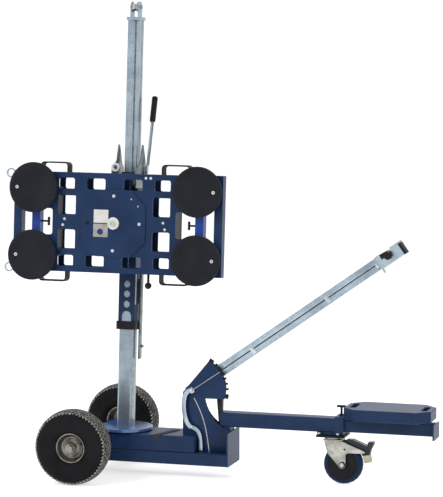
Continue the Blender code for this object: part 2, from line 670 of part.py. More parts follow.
def caster():
    plate_top = BOOM_BOTTOM - COLLAR_LOW_BAND - GAP
    plate_thickness = 0.006
    plate_z = plate_top - plate_thickness / 2
    places = [(x * 0.0385, y * 0.0462) for x in (-1, 1) for y in (-1, 1)]
    outline = [rectangle(CASTER_PLATE_LENGTH, CASTER_PLATE_WIDTH, 0.008)]
    location = (CASTER_PLATE_X, 0, plate_z)
    top_plate = plate("caster_plate", outline, plate_thickness, PLASTIC, ROOT, location, ALONG_Z)
    heads = [((x, y, 0.004), 0.0066, plate_thickness + 0.006, (0, 0, 1)) for x, y in places]
    join(top_plate, cylinders("bolt_heads", heads, ZINC, ROOT, location, facets=6))
    fork_top = plate_z - plate_thickness / 2 - RUNNING_GAP
    swivel = empty("caster_swivel_frame", ROOT, (CASTER_PLATE_X, 0, fork_top))
    race_height = 0.012
    race = [
        (0.026, 0.0),
        (0.033, -0.004),
        (0.033, -race_height + 0.003),
        (0.026, -race_height),
        (0.0, -race_height),
    ]
    race = [(0.0, 0.0)] + race[:-2] + [(0.026, -race_height - 0.002), (0.0, -race_height - 0.002)]
    drop = fork_top - CASTER_RADIUS
    leg_y = CASTER_WIDTH / 2 + 0.0045
    leg_thickness = 0.003
    crown_top = -race_height - GAP
    leg = [
        (-0.030, crown_top),
        (0.022, crown_top - 0.001),
        (0.048, crown_top - 0.007),
        (0.136, crown_top - 0.042),
        (0.134, crown_top - 0.047),
        (0.124, crown_top - 0.049),
        (0.070, crown_top - 0.050),
        (0.062, crown_top - 0.053),
        (0.0575, crown_top - 0.060),
        (0.0575, -drop),
    ]
    leg += arc((CASTER_TRAIL - 0.0015, -drop), 0.015, -15, -165, 8)
    leg += [(-0.017, -0.064), (-0.020, -0.052)]
    axle_hole = circle((CASTER_TRAIL, -drop), 0.0062, 16)
    crown_width = 2 * leg_y + leg_thickness
    fork = box(
        "caster_fork",
        (0.078, crown_width, leg_thickness),
        WARM_ZINC,
        swivel,
        (0.005, 0, crown_top - leg_thickness / 2),
    )
    join(fork, turned("caster_race", race, WARM_ZINC, swivel, (0, 0, 0), steps=24))
    for side in (-1, 1):
        location = (0, side * leg_y, -0.00005)
        join(fork, plate("fork_leg", [leg, axle_hole], leg_thickness, WARM_ZINC, swivel, location))
    wheel_frame = empty("caster_wheel_frame", swivel, (CASTER_TRAIL, 0, -drop), ALONG_Y)
    half = CASTER_WIDTH / 2
    tread_inner = CASTER_RADIUS - 0.018
    tread = [
        (tread_inner, half - 0.001),
        (CASTER_RADIUS - 0.010, half - 0.002),
        (CASTER_RADIUS - 0.002, half - 0.010),
        (CASTER_RADIUS, 0.0),
        (CASTER_RADIUS - 0.002, -half + 0.010),
        (CASTER_RADIUS - 0.010, -half + 0.002),
        (tread_inner, -half + 0.001),
    ]
    turned("caster_tread", tread, NAVY, wheel_frame, (0, 0, 0), steps=FACETS, closed=True)
    core = [
        (0.018, half),
        (0.020, half - 0.006),
        (tread_inner - 0.008, half - 0.006),
        (tread_inner - GAP, half - 0.002),
        (tread_inner - GAP, -half + 0.002),
        (tread_inner - 0.008, -half + 0.006),
        (0.020, -half + 0.006),
        (0.018, -half),
        (0.0066, -half),
        (0.0066, half),
    ]
    turned("caster_core", core, PLASTIC, wheel_frame, (0, 0, 0), steps=FACETS, closed=True)
    bolt = [((CASTER_TRAIL, 0, -drop), 0.0058, 2 * leg_y + 0.020, (0, 1, 0))]
    axle_bolt = cylinders("caster_axle_bolt", bolt, ZINC, swivel, facets=16)
    for side in (-1, 1):
        y = side * (leg_y + leg_thickness / 2 + GAP + 0.003)
        head = [((CASTER_TRAIL, y, -drop), 0.010, 0.006, (0, 1, 0))]
        join(axle_bolt, cylinders("axle_bolt_head", head, ZINC, swivel, facets=6))
    pedal_frame = empty("caster_pedal_frame", swivel, (0.062, 0, -0.024))
    arm = [
        (-0.006, -0.0045),
        (0.013, -0.0045),
        (0.033, -0.016),
        (0.053, -0.032),
        (0.0605, -0.050),
        (0.069, -0.078),
        (0.096, -0.073),
        (0.089, -0.046),
        (0.095, -0.022),
        (0.105, -0.004),
        (0.1065, 0.008),
        (0.0825, 0.006),
        (0.080, -0.009),
        (0.022, 0.014),
        (-0.004, 0.013),
        (-0.006, 0.008),
    ]
    pedal = plate("brake_pedal", [arm], 0.030, PLASTIC, pedal_frame, (0, 0, 0))
    width = 2 * leg_y - leg_thickness - 2 * GAP
    pin = [((0, 0, 0), 0.0035, width, (0, 1, 0))]
    join(pedal, cylinders("pedal_pin", pin, PLASTIC, pedal_frame, facets=12))


def turntable():
    ring = [(0.080, 0.0), (0.080, -BEARING_HEIGHT), (0.050, -BEARING_HEIGHT), (0.050, 0.0)]
    top = DECK_TOP + GAP + BEARING_HEIGHT
    turned("turntable_bearing", ring, STEEL, ROOT, (0, 0, top), steps=FACETS, closed=True)
    low = top - BEARING_HEIGHT - 0.030
    pin = [
        (0.0, DISC_TOP + GAP + 0.008),
        (0.018, DISC_TOP + GAP + 0.008),
        (0.020, DISC_TOP + GAP + 0.006),
        (0.020, DISC_TOP + GAP),
        (KINGPIN_RADIUS, DISC_TOP + GAP),
        (KINGPIN_RADIUS, low),
        (0.0, low),
    ]
    turned("turntable_kingpin", pin, STEEL, ROOT, (0, 0, 0), steps=24)
    bore = KINGPIN_RADIUS + RUNNING_GAP
    disc = [
        (TURNTABLE_RADIUS - 0.0015, 0.0),
        (TURNTABLE_RADIUS, -0.0015),
        (TURNTABLE_RADIUS, -TURNTABLE_THICKNESS),
        (bore, -TURNTABLE_THICKNESS),
        (bore, 0.0),
    ]
    disc_object = turned("turntable_disc", disc, NAVY, SWIVEL, (0, 0, 0), steps=40, closed=True)
    foot = MAST_SIZE / 2 + GAP
    gusset = [(-foot, -0.002), (-foot - 0.048, -0.002), (-foot - 0.048, 0.006), (-foot, 0.032)]
    join(disc_object, plate("mast_gusset", [gusset], 0.008, NAVY, SWIVEL, (0, 0.012, 0)))


def mast():
    section = [
        rectangle(MAST_SIZE, MAST_SIZE, 0.006),
        rectangle(MAST_SIZE - 2 * MAST_WALL, MAST_SIZE - 2 * MAST_WALL, 0.003),
    ]
    below = 0.010
    length = MAST_TUBE_TOP + below
    tube = plate("mast_tube", section, length, ZINC, MAST, (0, 0, length / 2 - below), ALONG_Z)
    foot_cut = box("mast_foot_cut", (0.2, 0.2, 0.05), ZINC, SWIVEL, (0, 0, GAP - 0.025))
    cut(tube, foot_cut)
    half = PROFILE_SIZE / 2
    inner = half - PROFILE_WALL
    left_lip = SLOT_X - SLOT_WIDTH / 2
    right_lip = SLOT_X + SLOT_WIDTH / 2
    lip = 0.010
    outer_corner = 0.005
    channel = [(right_lip, -half)]
    channel += arc((half - outer_corner, outer_corner - half), outer_corner, 270, 360, 3)
    channel += arc((half - outer_corner, half - outer_corner), outer_corner, 0, 90, 3)
    channel += arc((outer_corner - half, half - outer_corner), outer_corner, 90, 180, 3)
    channel += arc((outer_corner - half, outer_corner - half), outer_corner, 180, 270, 3)
    channel += [(left_lip, -half), (left_lip, lip - half), (left_lip - PROFILE_WALL, lip - half)]
    channel += [(left_lip - PROFILE_WALL, -inner), (-inner, -inner), (-inner, inner)]
    channel += [(inner, inner), (inner, -inner), (right_lip + PROFILE_WALL, -inner)]
    channel += [(right_lip + PROFILE_WALL, lip - half), (right_lip, lip - half)]
    length = MAST_TOP - PROFILE_BOTTOM
    plate("mast_profile", [channel], length, ZINC, MAST, (0, 0, PROFILE_BOTTOM + length / 2), ALONG_Z)
    cap = box(
        "mast_cap",
        (MAST_SIZE, MAST_SIZE, CAP_THICKNESS),
        ZINC,
        MAST,
        (0, 0, MAST_TOP + GAP + CAP_THICKNESS / 2),
    )
    fork_bottom = MAST_TOP + GAP + CAP_THICKNESS - 0.001
    pin_height = 0.042
    cheek = [(-0.022, 0.0), (0.022, 0.0), (0.022, pin_height)]
    cheek += arc((0, pin_height), 0.022, 0, 180, 10)[1:]
    for side in (-1, 1):
        location = (side * 0.0155, 0, fork_bottom)
        join(cap, plate("top_cheek", [cheek], 0.005, ZINC, MAST, location, ALONG_X))
    pin_z = fork_bottom + pin_height
    join(cap, cylinders("sheave_pin", [((0, 0, pin_z), 0.005, 0.052, (1, 0, 0))], STEEL, MAST, facets=16))
    ends = [((side * 0.0205, 0, pin_z), 0.009, 0.007, (1, 0, 0)) for side in (-1, 1)]
    join(cap, cylinders("pin_ends", ends, STEEL, MAST, facets=6))
    half_width = 0.010
    sheave = [
        (SHEAVE_RADIUS, half_width),
        (SHEAVE_RADIUS, half_width - 0.003),
        (SHEAVE_RADIUS - 0.006, 0.0),
        (SHEAVE_RADIUS, -half_width + 0.003),
        (SHEAVE_RADIUS, -half_width),
        (0.0056, -half_width),
        (0.0056, half_width),
    ]
    turned("rope_sheave", sheave, PLASTIC, MAST, (0, 0, pin_z), (0, math.pi / 2, 0), 24, True)


def carriage():
    """The sleeve that rides on the mast, with its guide band, cheeks and head pivot."""
    base = -HEAD_HEIGHT_ON_MAST
    section = [
        rectangle(SLEEVE_SIZE, SLEEVE_SIZE, 0.006),
        rectangle(SLEEVE_SIZE - 2 * SLEEVE_WALL, SLEEVE_SIZE - 2 * SLEEVE_WALL, 0.003),
    ]
    length = SLEEVE_TOP - SLEEVE_BOTTOM
    middle = base + SLEEVE_BOTTOM + length / 2
    sleeve = plate("carriage_sleeve", section, length, NAVY, CARRIAGE, (0, 0, middle), ALONG_Z)
    front = -SLEEVE_SIZE / 2
    port_heights = (0.490, 0.531, 0.571)
    ports = [((0, front, base + height), PORT_RADIUS, 0.020, (0, 1, 0)) for height in port_heights]
    cut(sleeve, cylinders("sleeve_ports", ports, NAVY, CARRIAGE, facets=20))
    arch_half = 0.021
    arch = [(arch_half, -0.010), (arch_half, 0.020)]
    arch += arc((0, 0.020), arch_half, 0, 180, 10)[1:]
    arch += [(-arch_half, -0.010)]
    location = (0, front, base + SLEEVE_BOTTOM)
    cut(sleeve, plate("sleeve_arch", [arch], 0.020, NAVY, CARRIAGE, location))
    guide = [
        rectangle(BAND_SIZE, BAND_SIZE, 0.008),
        rectangle(MAST_SIZE + 2 * RUNNING_GAP, MAST_SIZE + 2 * RUNNING_GAP, 0.006),
    ]
    middle = base + SLEEVE_BOTTOM - GAP - BAND_HEIGHT / 2
    plate("guide_band", guide, BAND_HEIGHT, PLASTIC, CARRIAGE, (0, 0, middle), ALONG_Z)
    cheek_bottom = 0.140
    cheek = [
        (-0.110, cheek_bottom),
        (0.035, cheek_bottom),
        (0.035, 0.218),
        (0.012, 0.236),
        (-0.022, 0.312),
        (-0.030, 0.312),
        (-0.050, 0.250),
        (-0.086, 0.226),
        (-0.110, 0.212),
    ]
    spacer = CHEEK_X - CHEEK_THICKNESS / 2 - SLEEVE_SIZE / 2 - GAP + 0.001
    sides = []
    for side in (-1, 1):
        location = (side * CHEEK_X, 0, 0)
        wall = plate("carriage_cheeks", [cheek], CHEEK_THICKNESS, ZINC, CARRIAGE, location, ALONG_X)
        x = side * (SLEEVE_SIZE / 2 + GAP + spacer / 2)
        bosses = [((x, 0, height), 0.008, spacer, (1, 0, 0)) for height in (0.152, 0.180)]
        join(wall, cylinders("cheek_bosses", bosses, ZINC, CARRIAGE, facets=16))
        sides.append(wall)
    join(sides[0], sides[1])
    tie = (2 * CHEEK_X, 0.008, 0.050)
    join(sides[0], box("cheek_tie", tie, ZINC, CARRIAGE, (0, -0.100, cheek_bottom + 0.030)))
    ring = [circle((0, 0), 0.0175), circle((0, 0), 0.009, 16)]
    join(sides[0], plate("guide_bush", ring, 0.020, ZINC, CARRIAGE, (-0.062, -0.108, 0.220)))
    hub_x = CHEEK_X + CHEEK_THICKNESS / 2 - 0.001
    ratchet = [(0.0, 0.007), (0.019, 0.007), (0.021, 0.005), (0.021, 0.0), (0.0, 0.0)]
    hub = turned("ratchet_hub", ratchet, ZINC, CARRIAGE, (hub_x, 0, 0.205), (0, math.pi / 2, 0), 24)
    join(sides[0], hub)
    shaft_front = HEAD_FRONT + PLATE_STEEL + 0.002
    flange = front - GAP
    pivot = [
        (0.0, -flange),
        (0.0, -shaft_front),
        (PIVOT_RADIUS, -shaft_front),
        (PIVOT_RADIUS, -flange + 0.012),
        (0.034, -flange + 0.012),
        (0.034, -flange),
    ]
    turned("head_pivot", pivot[1:] + pivot[:1], STEEL, CARRIAGE, (0, 0, 0), ALONG_Y)
    bar_height = 0.340
    bar_x = BAND_SIZE / 2 + GAP + 0.004
    bar_z = base + 0.270 + bar_height / 2
    join(sleeve, box("lock_bar", (0.008, 0.024, bar_height), NAVY, CARRIAGE, (bar_x, 0.016, bar_z)))
    boss_x = (SLEEVE_SIZE / 2 + bar_x) / 2
    join(sleeve, box("bar_boss", (0.013, 0.020, 0.100), NAVY, CARRIAGE, (boss_x, 0.016, base + 0.540)))
    lever()


def lever():
    frame = empty("hoist_lever_frame", CARRIAGE, (LEVER_X, 0, 0.205), (-LEVER_TILT, 0, 0))
    thickness = 0.006
    x = CHEEK_X + CHEEK_THICKNESS / 2 + 0.006 + 2 * GAP + thickness / 2 - LEVER_X
    arm = band([(0, 0), (0, 0.200)], 0.018)
    plate("hoist_lever_arm", [arm], thickness, ZINC, frame, (x, 0, 0), ALONG_X)
    grip = [
        (0.0, 0.105),
        (0.0105, 0.102),
        (0.0125, 0.092),
        (0.0115, 0.010),
        (0.0095, 0.0),
        (0.0, 0.0),
    ]
    turned("hoist_lever_grip", grip, RUBBER, frame, (x, 0, 0.2093), steps=20)


def window_outlines():
    """The openings that both plates of the head share: a row above and below, and two columns."""
    windows = []
    outer_x = PLATE_LENGTH / 2 - 0.057
    inner_x = PLATE_LENGTH * 0.150
    row_z = PLATE_HEIGHT / 2 - 0.044
    column_z = PLATE_HEIGHT * 0.175
    outer_width = PLATE_LENGTH * 0.129
    inner_width = PLATE_LENGTH * 0.152
    column_height = PLATE_HEIGHT * 0.200
    for x_side in (-1, 1):
        for z_side in (-1, 1):
            windows.append(rectangle(outer_width, 0.044, 0.007, (x_side * outer_x, z_side * row_z)))
            windows.append(rectangle(inner_width, 0.044, 0.007, (x_side * inner_x, z_side * row_z)))
            column = (x_side * (outer_x - 0.003), z_side * column_z)
            windows.append(rectangle(outer_width + 0.006, column_height, 0.007, column))
    return windows


def notched_outline():
    """The front plate reaches out behind the cups, with a notch between them for the arm lock."""
    edge = PLATE_LENGTH / 2
    wing = edge + PLATE_WING
    half = PLATE_HEIGHT / 2
    low = NOTCH_HEIGHT / 2
    corner = 0.010
    right = [(wing, half), (wing, low)]
    right += arc((edge + corner, low - corner), corner, 90, 180, 3)
    right += arc((edge + corner, corner - low), corner, 180, 270, 3)
    right += [(wing, -low), (wing, -half)]
    left = [(-x, -z) for x, z in right]
    return right + left


def head():
    outline = rectangle(PLATE_LENGTH, PLATE_HEIGHT, 0.006)
    bore = PIVOT_RADIUS + RUNNING_GAP
    front_middle = HEAD_FRONT + PLATE_STEEL / 2
    rear_middle = HEAD_FRONT + HEAD_DEPTH - PLATE_STEEL / 2
    windows = window_outlines()
    shape = [notched_outline()] + windows
    front = plate("head_front_plate", shape, PLATE_STEEL, NAVY, HEAD, (0, front_middle, 0))
    rear = plate("head_rear_plate", [outline] + windows, PLATE_STEEL, NAVY, HEAD, (0, rear_middle, 0))
    inside_depth = HEAD_DEPTH - 2 * PLATE_STEEL - 2 * GAP
    inside_middle = HEAD_FRONT + HEAD_DEPTH / 2
    location = (0, inside_middle + 0.001, 0)
    join(rear, cylinders("head_bearing", [(location, 0.030, inside_depth, (0, 1, 0))], NAVY, HEAD))
    cut(rear, cylinders("head_bore", [(location, bore, 0.2, (0, 1, 0))], NAVY, HEAD))
    hub_plate(front)
    guides(inside_depth, inside_middle)
    handles(front)
    vacuum_unit(inside_middle)


def hub_plate(front):
    half = HUB_PLATE_SIZE / 2
    octagon = eight_sided(half, half, half * 0.46)
    thickness = 0.005
    middle = HEAD_FRONT - GAP - thickness / 2
    hub = plate("hub_plate", [octagon], thickness, NAVY, HEAD, (0, middle, 0))
    face = HEAD_FRONT - GAP - thickness + 0.0005
    washer = [
        (0.0, 0.010),
        (0.008, 0.010),
        (0.009, 0.008),
        (0.012, 0.008),
        (0.013, 0.003),
        (0.022, 0.003),
        (0.024, 0.001),
        (0.024, -0.001),
        (0.0, -0.001),
    ]
    join(hub, turned("hub_bolt", washer, STEEL, HEAD, (0, face, 0), ALONG_Y, steps=16))
    screw_circle = 0.108
    places = [(0, screw_circle), (screw_circle, 0), (0, -screw_circle), (-screw_circle, 0)]
    screws = [((x, face - 0.002, z), 0.006, 0.004, (0, 1, 0)) for x, z in places]
    join(hub, cylinders("hub_screws", screws, ZINC, HEAD, facets=8))
    pairs = [(-0.205, 0.012), (-0.212, -0.012), (0.205, 0.008)]
    pairs += [(0.212, -0.018), (0.130, 0.182), (0.150, 0.182)]
    screws = [((x, HEAD_FRONT - 0.001, z), 0.005, 0.005, (0, 1, 0)) for x, z in pairs]
    join(front, cylinders("plate_screws", screws, ZINC, HEAD, facets=8))


def arm_tube_middle():
    return HEAD_FRONT + 0.027


def guides(inside_depth, inside_middle):
    """A plastic block at each end, between the plates, carries the two arm tubes."""
    tube_y = arm_tube_middle()
    hole = ARM_TUBE + 2 * RUNNING_GAP
    outlines = [rectangle(inside_depth, 2 * ARM_TUBE_HEIGHT + 0.040, 0.004)]
    for level in (-1, 1):
        centre = (tube_y - inside_middle, level * ARM_TUBE_HEIGHT)
        outlines.append(rectangle(hole, hole, 0.0, centre))
    width = 0.018
    for name, side in (("left", -1), ("right", 1)):
        location = (side * (PLATE_LENGTH / 2 - width / 2 - 0.001), inside_middle, 0)
        plate("arm_guide_" + name, outlines, width, PLASTIC, HEAD, location, ALONG_X)


def handles(front):
    """Strap handles stand on a rail along the top and the bottom edge."""
    rail_depth = 0.045
    rail_thickness = 0.004
    rail_y = HEAD_FRONT + rail_depth / 2 + 0.001
    rail_z = PLATE_HEIGHT / 2 + 0.0002 - rail_thickness / 2
    handle_width = 0.118
    handle_height = 0.040
    strap = 0.006
    for level_name, level in (("top", 1), ("bottom", -1)):
        rail = (PLATE_LENGTH + 0.112, rail_depth, rail_thickness)
        join(front, box("handle_rail", rail, NAVY, HEAD, (0, rail_y, level * rail_z)))
        for side_name, side in (("left", -1), ("right", 1)):
            corner = 0.016
            top = handle_height
            outer = [(handle_width / 2, 0)]
            outer += arc((handle_width / 2 - corner, top - corner), corner, 0, 90, 4)
            outer += arc((corner - handle_width / 2, top - corner), corner, 90, 180, 4)
            outer += [(-handle_width / 2, 0), (strap - handle_width / 2, 0)]
            inner_corner = corner - strap
            outer += arc((corner - handle_width / 2, top - corner), inner_corner, 180, 90, 4)
            outer += arc((handle_width / 2 - corner, top - corner), inner_corner, 90, 0, 4)
            outer += [(handle_width / 2 - strap, 0)]
            outline = [(x, level * z) for x, z in outer]
            handle_x = PLATE_LENGTH / 2 - 0.004
            location = (side * handle_x, rail_y, level * (PLATE_HEIGHT / 2 + 0.0002 + GAP))
            name = f"handle_{level_name}_{side_name}"
            plate(name, [outline], rail_depth, PLASTIC, HEAD, location)


def vacuum_unit(inside_middle):
    """Pump and battery sit behind the hub plate, out of sight of the windows."""
    floor = inside_middle + HEAD_DEPTH / 2 - PLATE_STEEL - GAP
    battery = (0.070, 0.060, 0.090)
    battery_at = (-0.085, floor - battery[1] / 2, -0.040)
    box("battery", battery, PLASTIC, HEAD, battery_at, round_edge=0.004)
    pump_length = 0.110
    saddle = 0.006
    pump_radius = 0.026
    pump_y = floor - saddle - GAP - pump_radius
    body = [((0.085, pump_y, -0.010), pump_radius, pump_length, (0, 0, 1))]
    pump = cylinders("vacuum_pump", body, STEEL, HEAD)
    saddle_box = (0.040, saddle + 0.004, 0.080)
    join(pump, box("pump_saddle", saddle_box, STEEL, HEAD, (0.085, floor - saddle_box[1] / 2, -0.010)))


def arm(side_name, side, frame):
    """Two upright bars on two telescoping tubes, with a pair of cups."""
    bar_y = arm_tube_middle()
    outer_bar = box(
        "arm_frame_" + side_name,
        (ARM_BAR_WIDTH, ARM_BAR_DEPTH, ARM_HEIGHT),
        NAVY,
        frame,
        (side * OUTER_BAR_OFFSET, bar_y, 0),
    )
    inner_size = (ARM_BAR_WIDTH, ARM_BAR_DEPTH, ARM_HEIGHT - 0.040)
    inner_bar = box("arm_inner_bar_" + side_name, inner_size, BRIGHT_BLUE, frame, (0, bar_y, 0))
    bore = ARM_TUBE + 2 * GAP
    section = [rectangle(ARM_TUBE, ARM_TUBE, 0.002, steps=1), rectangle(ARM_TUBE - 0.005, ARM_TUBE - 0.005)]
    start = side * (OUTER_BAR_OFFSET - ARM_BAR_WIDTH / 2 + 0.001)
    end = -side * PLATE_LENGTH * 0.42
    for level in (-1, 1):
        z = level * ARM_TUBE_HEIGHT
        location = ((start + end) / 2, bar_y, z)
        join(outer_bar, plate("arm_tube", section, abs(start - end), NAVY, frame, location, ALONG_X))
        cut(inner_bar, box("bar_bore", (0.060, bore, bore), NAVY, frame, (0, bar_y, z)))
    cups(side_name, frame, bar_y - ARM_BAR_DEPTH / 2, side)
    if side == -1:
        rings = eyes(outer_bar, frame, bar_y)
        join(outer_bar, rings)


def cups(side_name, frame, bar_front, side):
    """A pair of flat suction pads, each on a backing disc with a stud."""
    back = bar_front - GAP
    depth = back - CUP_FACE
    pad = 0.016
    for level_name, level in (("top", 1), ("bottom", -1)):
        height = level * CUP_HEIGHT
        disc = [
            (0.0, depth - pad + 0.002),
            (CUP_RADIUS - 0.006, depth - pad + 0.002),
            (CUP_RADIUS - 0.006, depth - pad - 0.008),
            (0.022, depth - pad - 0.010),
            (0.022, 0.0),
            (0.0, 0.0),
        ]
        backing = turned("cup_back", disc, PLASTIC, frame, (0, back, height), ALONG_Y)
        outline = [circle((0, 0), CUP_RADIUS, 36), circle((side * PORT_OFFSET, 0), 0.008, 12)]
        location = (0, CUP_FACE + pad / 2, height)
        name = f"cup_{level_name}_{side_name}"
        join(plate(name, outline, pad, CUP_RUBBER, frame, location), backing)


def eyes(outer_bar, frame, bar_y):
    """Lifting eyes on the outer side of the left bar."""
    edge = -OUTER_BAR_OFFSET - ARM_BAR_WIDTH / 2
    shanks = [((edge - 0.003, bar_y, level * 0.188), 0.0055, 0.010, (1, 0, 0)) for level in (-1, 1)]
    join(outer_bar, cylinders("eye_shanks", shanks, NAVY, frame, facets=12))
    outlines = []
    for level in (-1, 1):
        centre = (edge - 0.006 - EYE_RADIUS, level * 0.188)
        outlines.append(circle(centre, EYE_RADIUS + EYE_WIRE))
        outlines.append(circle(centre, EYE_RADIUS - EYE_WIRE))
    return plate("eye_rings", outlines, 2 * EYE_WIRE, NAVY, frame, (0, bar_y, 0))


def drawbar():
    half_height = DRAWBAR_HEIGHT / 2
    half_width = DRAWBAR_WIDTH / 2
    groove = 0.003
    groove_half = 0.0025
    wall = 0.0035
    section = [
        (half_width, half_height),
        (-half_width, half_height),
        (-half_width, groove_half),
        (groove - half_width, groove_half - 0.0005),
        (groove - half_width, 0.0005 - groove_half),
        (-half_width, -groove_half),
        (-half_width, -half_height),
        (half_width, -half_height),
        (half_width, -groove_half),
        (half_width - groove, 0.0005 - groove_half),
        (half_width - groove, groove_half - 0.0005),
        (half_width, groove_half),
    ]
    chamber_height = half_height - wall - 0.006
    chambers = []
    for level in (-1, 1):
        centre = (0, level * (half_height - wall - chamber_height / 2))
        chambers.append(rectangle(DRAWBAR_WIDTH - 2 * wall - 0.004, chamber_height, 0.0, centre))
    start = -0.026
    length = DRAWBAR_LENGTH - start
    bar = plate(
        "drawbar_profile",
        [section] + chambers,
        length,
        ZINC,
        DRAWBAR,
        (start + length / 2, 0, 0),
        ALONG_X,
    )
    hole = [((0, 0, 0), 0.0086, 0.08, (0, 1, 0))]
    cut(bar, cylinders("drawbar_hole", hole, ZINC, DRAWBAR, facets=20))
    head_start = DRAWBAR_LENGTH - 0.011
    head_end = DRAWBAR_LENGTH + 0.096
    notch_x = DRAWBAR_LENGTH + 0.035
    wall = 0.003
    inner = (DRAWBAR_WIDTH + 2 * GAP, DRAWBAR_HEIGHT + 2 * GAP)
    outer = (inner[0] + 2 * wall, inner[1] + 2 * wall)
    length = head_end - head_start
    shell = plate(
        "drawbar_head",
        [rectangle(*outer, 0.004), rectangle(*inner)],
        length,
        ZINC,
        DRAWBAR,
        ((head_start + head_end) / 2, 0, 0),
        ALONG_X,
    )
    notch = box("head_notch", (0.050, 0.080, 0.040), ZINC, DRAWBAR, (notch_x, 0, 0.024))
    cut(shell, notch)
    cap = 0.012
    end = box("drawbar_end_cap", (cap, *outer), RUBBER, DRAWBAR, (head_end - 0.001 + cap / 2, 0, 0))
    join(shell, end)
    trigger_frame = empty("trigger_frame", DRAWBAR, (notch_x + 0.020, 0, 0.004))
    blade = [
        (0.0, -0.006),
        (0.006, 0.0),
        (0.002, 0.008),
        (-0.012, 0.020),
        (-0.036, 0.022),
        (-0.040, 0.014),
        (-0.034, 0.002),
        (-0.016, -0.006),
    ]
    plate("release_trigger", [blade], inner[0] - 2 * GAP, RUBBER, trigger_frame, (0, 0, 0))
    bolt = [((0, 0, 0), 0.008, 2 * (PLATE_Y + PLATE_STEEL / 2) + 0.0174, (0, 1, 0))]
    pivot = cylinders("drawbar_pivot_bolt", bolt, STEEL, ROOT, (PIVOT_X, 0, PIVOT_Z), facets=20)
    for side in (-1, 1):
        y = side * (PLATE_Y + PLATE_STEEL / 2 + GAP + 0.004)
        head_piece = [((0, y, 0), 0.013, 0.007, (0, 1, 0))]
        join(pivot, cylinders("pivot_nut", head_piece, STEEL, ROOT, (PIVOT_X, 0, PIVOT_Z), facets=6))


def upright_plates():
    """Side plates that carry the drawbar: the near one has the lock teeth and the far one is smaller."""
    low = DECK_TOP + GAP
    left = 0.251
    pivot = (PIVOT_X, PIVOT_Z)
    foot = [(0.445, 0.185), (0.445, RAIL_TOP + GAP), (DECK_RIGHT + GAP, RAIL_TOP + GAP)]
    foot += [(DECK_RIGHT + GAP, low), (left, low), (left, 0.340)]
    hollow = arc_through((0.343, 0.318), (0.373, 0.243), (0.445, 0.192), 10)
    deeper = arc_through((0.323, 0.318), (0.350, 0.243), (0.445, 0.190), 10)
    hole = circle(pivot, 0.0083, 20)
    plain = arc(pivot, SECTOR_RADIUS - 0.020, 60, -13, 12)
    teeth = []
    for tooth in range(TOOTH_COUNT):
        start = 60 - 73 * tooth / TOOTH_COUNT
        step = 73 / TOOTH_COUNT
        for share, radius in ((0.1, 0), (0.3, TOOTH_HEIGHT), (0.6, TOOTH_HEIGHT), (0.75, 0)):
            teeth += arc(pivot, SECTOR_RADIUS + radius, start - share * step, start, 1)[:1]
    for name, edge, side in (("near", teeth + hollow, -1), ("far", plain + deeper, 1)):
        location = (0, side * PLATE_Y, 0)
        plate("upright_plate_" + name, [edge + foot, hole], PLATE_STEEL, NAVY, ROOT, location)


def stays():
    """Bent flat stays between the pivot and the chassis, and the brace on the boom."""
    thickness = 0.005
    y = -(PLATE_Y + PLATE_STEEL / 2 + 0.0090 + thickness / 2)
    upper = band(arc_through((0.290, 0.350), (0.2475, 0.285), (0.300, 0.190), 12), 0.016)
    stay = plate("toggle_stay", [upper], thickness, ZINC, ROOT, (0, y, 0))
    lower = band(arc_through((0.304, 0.190), (0.334, 0.152), (0.350, 0.114), 8), 0.016)
    join(stay, plate("stay_lower", [lower], thickness, ZINC, ROOT, (0, y - thickness + 0.0005, 0)))


def knobs():
    """Spring plungers: a ball knob under the head and a T bar in each arm."""
    y = arm_tube_middle()
    ball = empty("index_plunger_frame", HEAD, (0.141, y, -PLATE_HEIGHT / 2))
    profile = [(0.0, -0.0005), (0.005, -0.0005), (0.005, -0.034)]
    profile += [(0.014 * math.cos(a), -0.045 + 0.014 * math.sin(a)) for a in (0.9, 0.4, -0.1, -0.6, -1.1)]
    profile += [(0.0, -0.059)]
    turned("index_plunger", profile, PLASTIC, ball, (0, 0, 0), steps=16)
    for name, side, x in (("left", -1, LEFT_CUP_X), ("right", 1, RIGHT_CUP_X)):
        start = x - side * (ARM_BAR_WIDTH / 2 + GAP)
        frame = empty("arm_lock_frame_" + name, HEAD, (start, y, 0))
        stem = [((-side * 0.016, 0, 0), 0.004, 0.032, (1, 0, 0))]
        lock = cylinders("arm_lock_" + name, stem, PLASTIC, frame, facets=16)
        bar = [((-side * 0.030, 0, 0), 0.005, 0.034, (0, 0, 1))]
        join(lock, cylinders("lock_tee", bar, PLASTIC, frame, facets=16))


chassis()
axle()
wheel("near", -1)
wheel("far", 1)
boom()
ballast()
caster()
turntable()
mast()
carriage()
head()
arm("left", -1, ARM_LEFT)
arm("right", 1, ARM_RIGHT)
knobs()
drawbar()
upright_plates()
stays()
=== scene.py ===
# %% [markdown]
# # A suction cup lifter, dressed for the camera
# The lifter is a wheeled trolley. A leaning mast stands at its left end, and a steel head with
# four suction cups turns on the mast. A drawbar steers the trolley, and a counterweight on a
# sliding tube keeps it from tipping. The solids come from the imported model, so this lesson only
# adds what solids lack: finishes, tread, pads, wires, scales and light.

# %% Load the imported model
import json
import math

import bmesh
import bpy
from mathutils import Matrix, Vector


